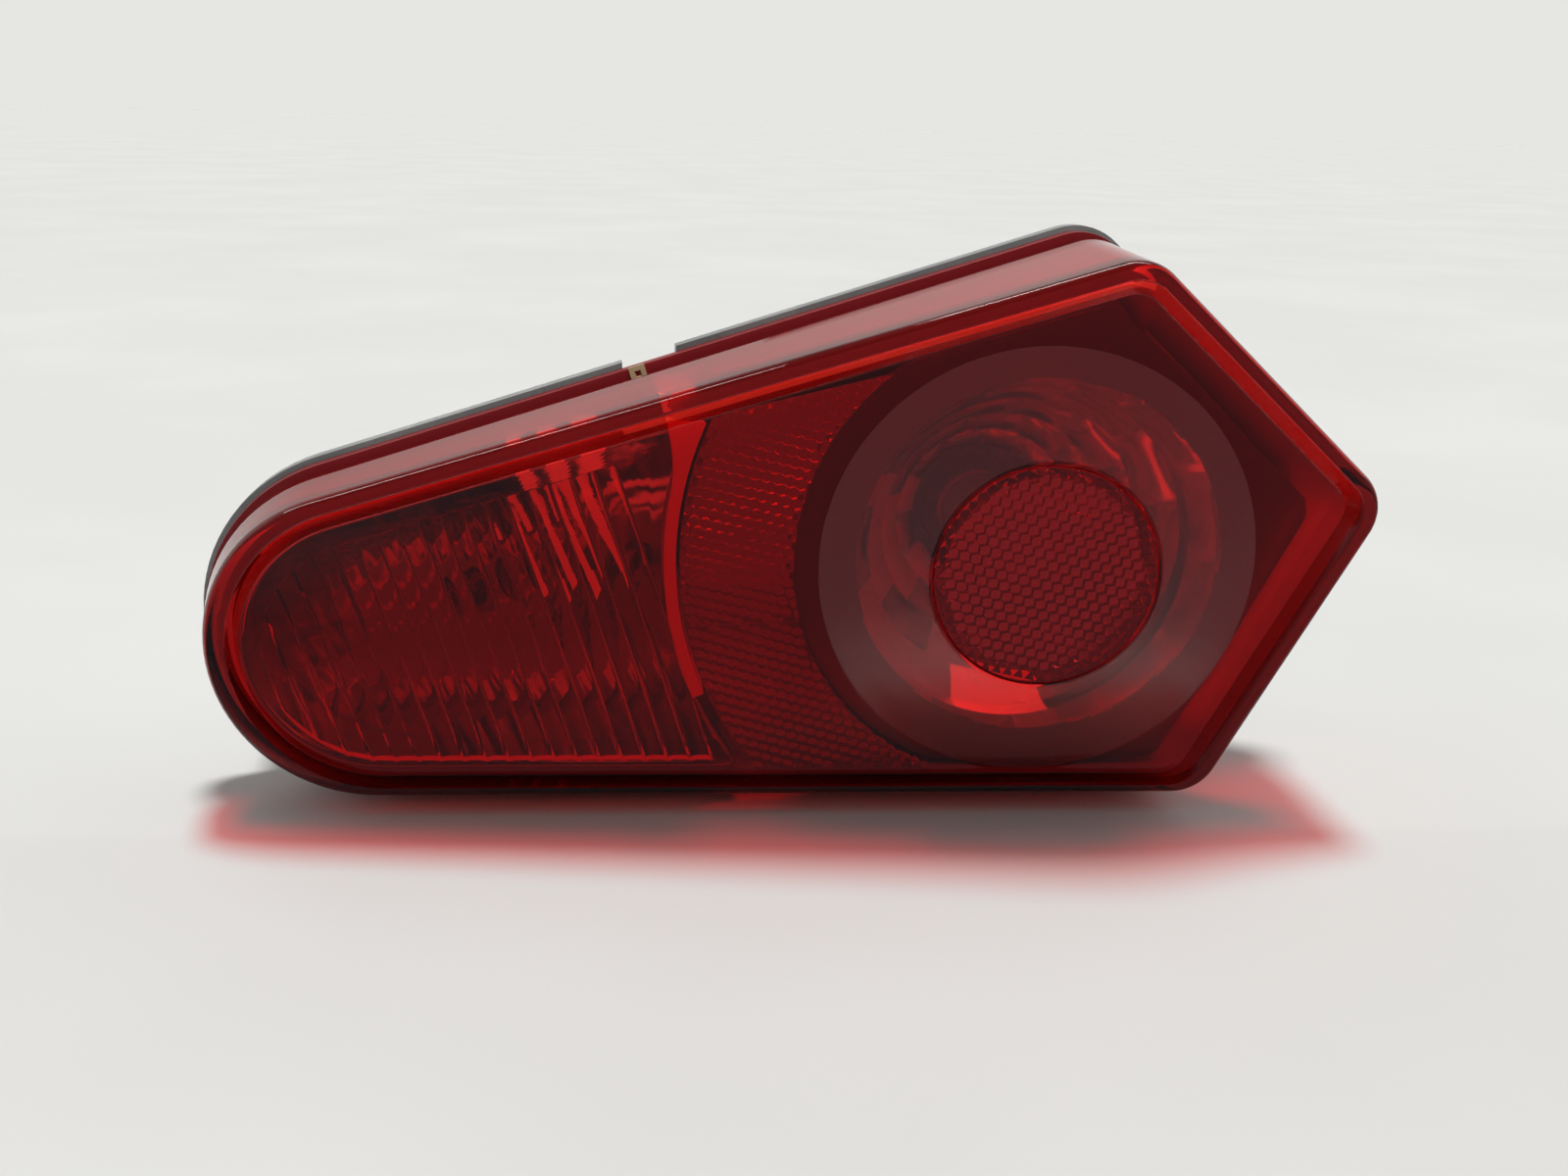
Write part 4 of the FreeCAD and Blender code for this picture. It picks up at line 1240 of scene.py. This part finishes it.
# --------------------------------------------------------------------------------------------
# Reflectors
# --------------------------------------------------------------------------------------------
@dataclass
class BrakeReflector:
    """Stepped bowl of facets round the brake bulb, with a plate that closes the brake end."""

    hole_r: float = 15.0
    rim_r: float = 41.0
    bottom: float = -11.0
    depth: float = 48.6
    rings: int = 5
    sectors: int = 12
    # directions of facets with the faint painted glow, then the directions and ring of the painted glints
    painted_glow_way: tuple[float, float] = (150.0, 285.0)
    painted_glint_way: tuple[float, float] = (248.0, 282.0)
    painted_glint_ring: int = 3
    facet_bulge: float = 1.1
    plate_deep: float = 6.0
    wall: float = 1.4
    columns: int = 192
    fine: int = 12
    crescent_in: float = 49.0

    def bowl_y(self, radius: np.ndarray) -> np.ndarray:
        """Parabola from the hole's edge to the rim."""
        share = (radius ** 2 - self.hole_r ** 2) / (self.rim_r ** 2 - self.hole_r ** 2)
        return self.bottom - self.depth * share

    def facets(self) -> tuple[np.ndarray, np.ndarray, np.ndarray]:
        """Radius, direction and y of the facetted bowl.

        Each ring is a step: y follows the parabola's mean over the ring with 0.7 of its slope,
        with the rest made up by a riser at its outer edge, and each facet bulges by
        bulge * (1 - u^2) * (1 - v^2) over its own two directions.

        Returns:
            Radii, directions and the grid of y.
        """
        turn = np.linspace(0.0, 2 * math.pi, self.columns, endpoint=False)
        pitch = (self.rim_r - self.hole_r) / self.rings
        share = np.append(np.linspace(0.0, 0.94, self.fine), 1.0)
        radius = (self.hole_r + pitch * (np.arange(self.rings)[:, None] + share)).ravel()
        ring = np.repeat(np.arange(self.rings), self.fine + 1)
        u = np.tile(2.0 * share - 1.0, self.rings)
        low = self.bowl_y(self.hole_r + pitch * ring)
        high = self.bowl_y(self.hole_r + pitch * (ring + 1))
        flat = (low + high) / 2 + (high - low) / 2 * u * 0.7
        y = np.where(u > 0.99, high, flat)
        sector = turn / (2 * math.pi) * self.sectors + 0.5 * (ring[:, None] % 2)
        v = 2.0 * (sector - np.floor(sector)) - 1.0
        bulge = self.facet_bulge * (1 - u[:, None] ** 2) * (1 - v ** 2)
        return radius, turn, y[:, None] - bulge

    def plate_reach(self, turn: np.ndarray) -> np.ndarray:
        """Distance from the brake axis to the plate's edge in each direction.

        Args:
            turn: directions in radians.

        Returns:
            Distance for each direction.
        """
        ring = OUTLINE.ring([-inset - 1.2 for inset in (3.2, 6.7, 8.6, 7.0)], (5, 5, 5, 26))
        way = np.arctan2(ring[:, 1], ring[:, 0]) % (2 * math.pi)
        order = np.argsort(way)
        reach = np.interp(turn, way[order], np.hypot(*ring.T)[order], period=2 * math.pi)
        left = reach * np.cos(turn) < -12.0
        return np.where(left, np.minimum(reach, self.crescent_in), reach)

    def build(self) -> None:
        """One sheet from the hole to the plate's edge, given a wall behind."""
        radius, turn, y = self.facets()
        x = radius[:, None] * np.cos(turn)
        z = radius[:, None] * np.sin(turn)
        level = OUTLINE.face(x, -self.plate_deep)
        y = np.maximum(y, level)
        rows = [np.stack([x, y, z], axis=-1)]
        reach = self.plate_reach(turn)
        for share in (0.02, 0.35, 0.7, 1.0):
            r = self.rim_r + (np.maximum(reach, self.rim_r + 0.5) - self.rim_r) * share
            px, pz = r * np.cos(turn), r * np.sin(turn)
            rows.append(np.stack([px, OUTLINE.face(px, -self.plate_deep), pz], axis=-1)[None])
        lip = rows[-1][0].copy()
        lip[:, 1] += 6.0
        rows.append(lip[None])
        grid = np.concatenate(rows)
        points = (grid + np.array([OUTLINE.brake_x, 0.0, OUTLINE.brake_z])) * MM
        faces = grid_faces(points.shape[0], points.shape[1], False, True)
        piece = make_piece("brake_reflector_bowl", points, faces[:, ::-1], 14.0)
        wall = piece.modifiers.new("wall", "SOLIDIFY")
        wall.thickness = self.wall * MM
        wall.offset = -1.0
        applied(piece)
        piece.data.set_sharp_from_angle(angle=math.radians(14.0))
        centre = np.zeros(len(piece.data.polygons) * 3)
        piece.data.polygons.foreach_get("center", centre)
        centre = centre.reshape(-1, 3) / MM - (OUTLINE.brake_x, 0.0, OUTLINE.brake_z)
        plate = np.hypot(centre[:, 0], centre[:, 2]) > self.rim_r + 0.4
        depth = centre[:, 1] - OUTLINE.face(centre[:, 0], -self.plate_deep)
        number = np.where(plate | (np.abs(depth) < 0.25), 1, 0)
        cells = len(faces)
        row, column = np.divmod(np.arange(cells), self.columns)
        ring = row // (self.fine + 1)
        sector = np.floor(column / self.columns * self.sectors + 0.5 * (ring % 2))
        way = column * 360.0 / self.columns
        bowl = (number[:cells] == 0) & (row < self.rings * (self.fine + 1))
        # Facets in these directions get a faint emission, painted light; one ring gets a strong one,
        # painted glints
        low, high = self.painted_glow_way
        number[:cells][bowl & (way > low) & (way < high) & ((sector + ring) % 3 > 0)] = 2
        low, high = self.painted_glint_way
        number[:cells][bowl & (way > low) & (way < high) & (ring == self.painted_glint_ring)] = 3
        piece.data.polygons.foreach_set("material_index", number.astype(np.int32))
        enlist(wear(piece, MIRROR_COAT, PLATE_DARK, MIRROR_PAINTED_GLOW, MIRROR_PAINTED_GLINT), Body.LAMP, Slot.METALLISED,
               "brake_reflector")


@dataclass
class TailReflector:
    """Tray behind the fluted window, with the curved rib at its brake end."""

    axis_x: float = -115.0
    axis_z: float = -13.0
    hole_r: float = 5.3
    bottom: float = -12.0
    front_gap: float = 3.9
    insets: tuple[float, ...] = (3.9, 7.4, 9.3, 7.7)
    nose_r: float = 26.4
    rib_r: float = 76.0
    rib_thick: float = 2.45
    columns: int = 360
    wall: float = 1.4
    rib_depth: float = 26.0
    slope_way: float = 0.45
    # x range and lowest z of the patch with painted light
    painted_glow_x: tuple[float, float] = (-104.0, -86.0)
    painted_glow_z: float = -14.0
    pillow: float = 6.0
    pillow_rise: float = 0.45

    def reach(self, turn: np.ndarray) -> np.ndarray:
        """Distance from the bulb's axis to the tray's edge.

        It is the lesser of the distance to the inset outline and that to the rib's circle, whose
        nearer crossing is d.b - sqrt((d.b)^2 - (b.b - R^2)) for the direction d and the vector b
        from the bulb's axis to the brake axis.

        Args:
            turn: directions in radians.

        Returns:
            Distance for each direction.
        """
        ring = OUTLINE.ring([-inset for inset in self.insets], (5, 5, 5, self.nose_r))
        ring = ring - np.array([self.axis_x, self.axis_z])
        way = np.arctan2(ring[:, 1], ring[:, 0]) % (2 * math.pi)
        order = np.argsort(way)
        edge = np.interp(turn, way[order], np.hypot(*ring.T)[order], period=2 * math.pi)
        to_brake = -np.array([self.axis_x, self.axis_z])
        dot = np.cos(turn) * to_brake[0] + np.sin(turn) * to_brake[1]
        inside = dot ** 2 - (to_brake @ to_brake - self.rib_r ** 2)
        near = np.where((inside > 0) & (dot > 0), dot - np.sqrt(np.maximum(inside, 0)), np.inf)
        return np.minimum(edge, near)

    def tray(self) -> bpy.types.Object:
        """Dish with steep sides, covered in round pillows.

        Its depth runs as 0.25 s^2 + 0.75 s^8 of the share s of the way to its edge, or as
        0.1 s + 0.9 s^2.6 towards the rib.  Each square pillow stands out by
        rise * (1 - u^2) * (1 - v^2) over its own two directions.

        Returns:
            The tray, given a wall behind.
        """
        turn = np.linspace(0.0, 2 * math.pi, self.columns, endpoint=False)
        reach = self.reach(turn)
        share = np.concatenate([[0.0], np.linspace(0.02, 0.8, 42), np.linspace(0.81, 1.0, 20)])
        radius = self.hole_r + (reach - self.hole_r) * share[:, None]
        x = self.axis_x + radius * np.cos(turn)
        z = self.axis_z + radius * np.sin(turn)
        front = OUTLINE.face(x, -self.front_gap)
        east = np.clip((np.cos(turn - self.slope_way) - 0.55) / 0.3, 0.0, 1.0)
        steep = (0.25 * share ** 2 + 0.75 * share ** 8)[:, None]
        gentle = (0.1 * share + 0.9 * share ** 2.6)[:, None]
        y = self.bottom + (front - self.bottom) * (steep * (1 - east) + gentle * east)
        u = 2.0 * ((x / self.pillow) % 1.0) - 1.0
        v = 2.0 * ((z / self.pillow) % 1.0) - 1.0
        fade = np.clip((1.0 - share[:, None]) * 12.0, 0.0, 1.0)
        y = y - self.pillow_rise * (1 - u ** 2) * (1 - v ** 2) * fade
        grid = np.stack([x + OUTLINE.brake_x, y, z + OUTLINE.brake_z], axis=-1) * MM
        faces = grid_faces(grid.shape[0], grid.shape[1], False, True)
        piece = make_piece("tail_reflector_tray", grid, faces[:, ::-1], 40.0)
        # A striped patch of the tray towards the rib takes the glowing finish: painted light, not a lamp
        low, high = self.painted_glow_x
        lit = (x[:-1] > low) & (x[:-1] < high) & (z[:-1] > self.painted_glow_z) & (share[:-1, None] > 0.3)
        lit &= np.sin(x[:-1] * 0.9) > -0.2
        piece.data.polygons.foreach_set("material_index", lit.astype(np.int32).ravel())
        wall = piece.modifiers.new("wall", "SOLIDIFY")
        wall.thickness = self.wall * MM
        wall.offset = -1.0
        return applied(piece)

    def rib(self) -> bpy.types.Object:
        """Curved rib between the window and the reflex crescent, thicker towards its top.

        Returns:
            The rib.
        """
        turn = np.linspace(math.radians(157.0), math.radians(203.0), 60)
        thick = self.rib_thick + 7.0 * np.clip((math.radians(169.0) - turn) / 0.21, 0, 1) ** 2
        inner = np.full_like(turn, 73.1)
        edge = np.stack([inner, inner + thick], axis=1)
        corner_x = edge * np.cos(turn)[:, None]
        corner_z = edge * np.sin(turn)[:, None]
        front = np.stack([corner_x, OUTLINE.face(corner_x, -2.7), corner_z], axis=-1)
        back = front.copy()
        back[..., 1] += self.rib_depth
        shift = np.array([OUTLINE.brake_x, 0.0, OUTLINE.brake_z])
        piece = plate_between("tail_reflector_rib", (front + shift) * MM, (back + shift) * MM)
        return piece

    def build(self) -> None:
        """Make the tray and the rib."""
        enlist(wear(self.tray(), MIRROR_COAT, TRAY_PAINTED_GLOW), Body.LAMP, Slot.METALLISED,
               "tail_reflector")
        enlist(wear(self.rib(), RIB_PALE), Body.LAMP, Slot.METALLISED)


# --------------------------------------------------------------------------------------------
# Housing, sockets and fasteners
# --------------------------------------------------------------------------------------------
@dataclass
class Backside:
    """Housing, sockets, seals, breather and fasteners."""

    flange_front: float = -25.5
    flange_back: float = -22.0

    def housing(self) -> bpy.types.Object:
        """Rounded housing whose flange edge, which faces outward or forward, is grey: dust and a painted
        sheen.

        Returns:
            The housing.
        """
        piece = wear(softened("housing_shell", "housing", 0.35), HOUSING_BLACK, HOUSING_EDGE_DUST_AND_SHEEN)
        count = len(piece.data.polygons)
        centre, normal = np.zeros(count * 3), np.zeros(count * 3)
        piece.data.polygons.foreach_get("center", centre)
        piece.data.polygons.foreach_get("normal", normal)
        y, facing = centre[1::3] / MM, normal[1::3]
        # Flange faces turned outward or forward take the grey finish: dust and painted sheen
        edge = (y > self.flange_front - 0.1) & (y < self.flange_back - 0.1) & (facing < 0.5)
        edge |= (np.abs(y - self.flange_front) < 0.1) & (facing < -0.5)
        piece.data.polygons.foreach_set("material_index", edge.astype(np.int32))
        return piece

    def build(self) -> None:
        """Round the housing and give each listed model node its finish."""
        enlist(self.housing(), Body.LAMP, Slot.BLACK, "housing")
        plain = {
            "lens_seal": SEALANT_BLACK, "reflector_screws": ZINC, "mounting_studs": ZINC,
            "vent_cap": CAP_BLACK, "vent_filter": MEMBRANE,
            "brake_socket": SOCKET_BLACK, "brake_socket_seal": RUBBER_BLACK,
            "brake_terminals": BRASS_FINISH, "brake_bulb_base": BASE_CREAM,
            "brake_bulb_glass": BULB_GLASS, "brake_bulb_filament": TUNGSTEN,
            "tail_socket": SOCKET_BLACK, "tail_socket_seal": RUBBER_BLACK,
            "tail_terminals": BRASS_FINISH, "tail_bulb_glass": BULB_GLASS,
            "tail_bulb_filament": TUNGSTEN,
        }
        for node, finish in plain.items():
            wear(frame["nodes"][node], finish)


# --------------------------------------------------------------------------------------------
# Stage, lights and camera
# --------------------------------------------------------------------------------------------
@dataclass
class Studio:
    """Pale seamless floor, soft light and the camera; lengths are in metres but for flag_gap."""

    floor_gap: float = 0.0004
    floor_r: float = 60.0
    pale: tuple[float, float, float] = (0.79, 0.79, 0.765)
    flag_gap: float = 11.0
    flag_height: float = 0.45
    flag_glow: float = 0.17
    camera_at: tuple[float, float, float] = (-0.04385, -0.3221, 0.1028)
    heading: float = 9.544
    pitch: float = 18.355
    roll: float = 1.588
    focal: float = 32.625

    def flag(self) -> None:
        """Dark card in front of the lamp, met only by rays mirrored in its clear faces."""
        base = CAD_BOX[0][2]
        x = np.array([-900.0, 500.0, 500.0, -900.0])
        y = OUTLINE.face(x - OUTLINE.brake_x, self.flag_gap) * MM
        z = np.array([base, base, base + self.flag_height, base + self.flag_height])
        points = np.stack([x * MM, y, z], axis=1)
        card = make_piece("dark_card", points, [[0, 1, 2, 3]])
        card.data.materials.append(self.flag_material())
        card.visible_camera = False
        card.visible_diffuse = False
        card.visible_shadow = False

    def flag_material(self) -> bpy.types.Material:
        """Dim glow for nearly level rays; steeper rays pass to the floor and the ceiling.

        Returns:
            The material.
        """
        material = bpy.data.materials.new("card_dark")
        material.use_nodes = True
        graph = Graph(material.node_tree)
        shader = material.node_tree.nodes["Principled BSDF"]
        shader.inputs["Base Color"].default_value = (0.02, 0.02, 0.02, 1.0)
        shader.inputs["Emission Color"].default_value = (0.96, 0.88, 1.0, 1.0)
        shader.inputs["Emission Strength"].default_value = self.flag_glow
        steep = graph.add("ShaderNodeSeparateXYZ",
                          {0: graph.add("ShaderNodeNewGeometry").outputs["Incoming"]})
        steep = graph.ramp(graph.math("ABSOLUTE", steep.outputs[2]), 0.40, 0.72)
        clear = graph.add("ShaderNodeBsdfTransparent")
        mix = graph.add("ShaderNodeMixShader", {0: steep, 1: shader.outputs[0],
                                                2: clear.outputs[0]})
        graph.tree.links.new(mix.outputs[0],
                             graph.tree.nodes["Material Output"].inputs["Surface"])
        return material

    def floor(self) -> None:
        """Wide flat disc whose far edge meets the pale sky."""
        base = CAD_BOX[0][2] - self.floor_gap
        turn = np.linspace(0.0, 2 * math.pi, 96, endpoint=False)
        radius = np.array([0.02, 0.3, 1.0, 4.0, 14.0, self.floor_r])[:, None]
        x, y = radius * np.cos(turn), radius * np.sin(turn)
        rings = np.stack([x, y, np.full(x.shape, base)], axis=-1)
        flat = np.vstack([rings.reshape(-1, 3), np.array([[0.0, 0.0, base]])])
        faces = grid_faces(len(radius), 96, False, True)[:, ::-1].tolist()
        faces += [[k, (k + 1) % 96, len(flat) - 1] for k in range(96)]
        piece = make_piece("studio_floor", flat, faces, 60.0)
        piece.data.materials.append(self.floor_material())

    def floor_material(self) -> bpy.types.Material:
        """Pale matt surface that is clear when seen from behind.

        Returns:
            The material.
        """
        material = bpy.data.materials.new("pale_floor")
        material.use_nodes = True
        graph = Graph(material.node_tree)
        shader = material.node_tree.nodes["Principled BSDF"]
        place = graph.add("ShaderNodeTexCoord").outputs["Object"]
        cloud = graph.ramp(graph.noise(place, 5.0), 0.35, 0.7)
        graph.tree.links.new(graph.blend(cloud, (0.80, 0.80, 0.785), (0.84, 0.84, 0.83)),
                             shader.inputs["Base Color"])
        shader.inputs["Roughness"].default_value = 0.55
        clear = graph.add("ShaderNodeBsdfTransparent")
        facing = graph.add("ShaderNodeNewGeometry").outputs["Backfacing"]
        mix = graph.add("ShaderNodeMixShader", {0: facing, 1: shader.outputs[0],
                                                2: clear.outputs[0]})
        graph.tree.links.new(mix.outputs[0],
                             graph.tree.nodes["Material Output"].inputs["Surface"])
        return material

    def area(self, name: str, at: tuple[float, float, float], aim: tuple[float, float, float],
             size: tuple[float, float], watts: float, color: tuple[float, float, float]
             ) -> bpy.types.Object:
        """Rectangular soft light aimed at a point.

        Args:
            name: object name.
            at: place of the light.
            aim: point that it faces.
            size: its two sides.
            watts: its power.
            color: its colour.

        Returns:
            The light.
        """
        light = bpy.data.lights.new(name, "AREA")
        light.shape = "RECTANGLE"
        light.size, light.size_y = size
        light.energy = watts
        light.color = color
        lamp = bpy.data.objects.new(name, light)
        lamp.location = at
        lamp.rotation_euler = (Vector(aim) - Vector(at)).to_track_quat("-Z", "Y").to_euler()
        lamp.visible_diffuse = False
        bpy.context.scene.collection.objects.link(lamp)
        return lamp

    def sky(self) -> None:
        """Pale band round the horizon, darker overhead, and dark in front for mirrored rays."""
        world = bpy.data.worlds.new("studio_sky")
        world.use_nodes = True
        graph = Graph(world.node_tree)
        way = graph.add("ShaderNodeTexCoord").outputs["Generated"]
        part = graph.add("ShaderNodeSeparateXYZ", {0: way})
        overhead = graph.ramp(part.outputs[2], 0.48, 0.80)
        front = graph.ramp(part.outputs[1], -0.55, 0.15)
        high = graph.blend(overhead, self.pale, (0.17, 0.175, 0.18))
        around = graph.blend(front, (0.11, 0.105, 0.10), high)
        seen = graph.add("ShaderNodeLightPath").outputs["Is Camera Ray"]
        color = graph.blend(seen, around, self.pale)
        background = world.node_tree.nodes["Background"]
        world.node_tree.links.new(color, background.inputs["Color"])
        background.inputs["Strength"].default_value = 1.0
        bpy.context.scene.world = world

    def lights(self) -> None:
        """Even light from above, a fill that only the lamp receives, and two lamps that glint."""
        light = bpy.data.lights.new("overhead_light", "SUN")
        light.energy = 2.3
        light.angle = math.radians(11.0)
        light.color = (1.0, 0.995, 0.98)
        lamp = bpy.data.objects.new("overhead_light", light)
        lamp.rotation_euler = (-Vector((0.05, 0.24, 1.0))).to_track_quat("-Z", "Y").to_euler()
        lamp.visible_glossy = False
        lamp.visible_transmission = False
        bpy.context.scene.collection.objects.link(lamp)
        fill = self.area("fill_light", (0.1, -0.55, 0.95), (0.0, 0.0, 0.0), (0.8, 0.5), 9.0,
                         (1.0, 0.99, 0.98))
        fill.visible_diffuse = True
        fill.visible_glossy = False
        fill.visible_transmission = False
        lit = bpy.data.collections.new("lit_by_fill")
        for piece in bpy.data.objects:
            if piece.type == "MESH" and piece.name != "studio_floor":
                lit.objects.link(piece)
        fill.light_linking.receiver_collection = lit
        for name, at, size, watts in (
                ("ceiling_lamp", (0.35, 0.55, 1.5), (1.1, 0.2), 7.0),
                ("left_lamp", (-0.8, 0.1, 1.3), (0.25, 0.9), 5.0)):
            self.area(name, at, (0.0, 0.0, 0.0), size, watts, (1.0, 0.99, 0.97))

    def camera(self) -> None:
        """Camera at its place, turned by heading, pitch and roll."""
        data = bpy.data.cameras.new("camera")
        data.sensor_width = 36.0
        data.lens = self.focal
        data.clip_start, data.clip_end = 0.01, 20.0
        camera = bpy.data.objects.new("camera", data)
        turn = (Matrix.Rotation(math.radians(-self.heading), 4, "Z")
                @ Matrix.Rotation(math.radians(90.0 - self.pitch), 4, "X")
                @ Matrix.Rotation(math.radians(self.roll), 4, "Z"))
        camera.matrix_world = Matrix.Translation(self.camera_at) @ turn
        bpy.context.scene.collection.objects.link(camera)
        bpy.context.scene.camera = camera

    def build(self) -> None:
        """Set up the whole stage."""
        self.floor()
        self.flag()
        self.sky()
        self.lights()
        bpy.context.scene.view_settings.view_transform = "Standard"
        self.camera()


def main() -> None:
    """Build every sub-assembly, then the stage, and note the sizes."""
    logging.basicConfig(level=logging.INFO, format="%(name)s: %(message)s")
    for assembly in (Lens(), ReflexCells(), BrakeReflector(), TailReflector(), Backside()):
        LOG.info("building %s", type(assembly).__name__)
        assembly.build()
    Studio().build()


if __name__ == "__main__":
    main()
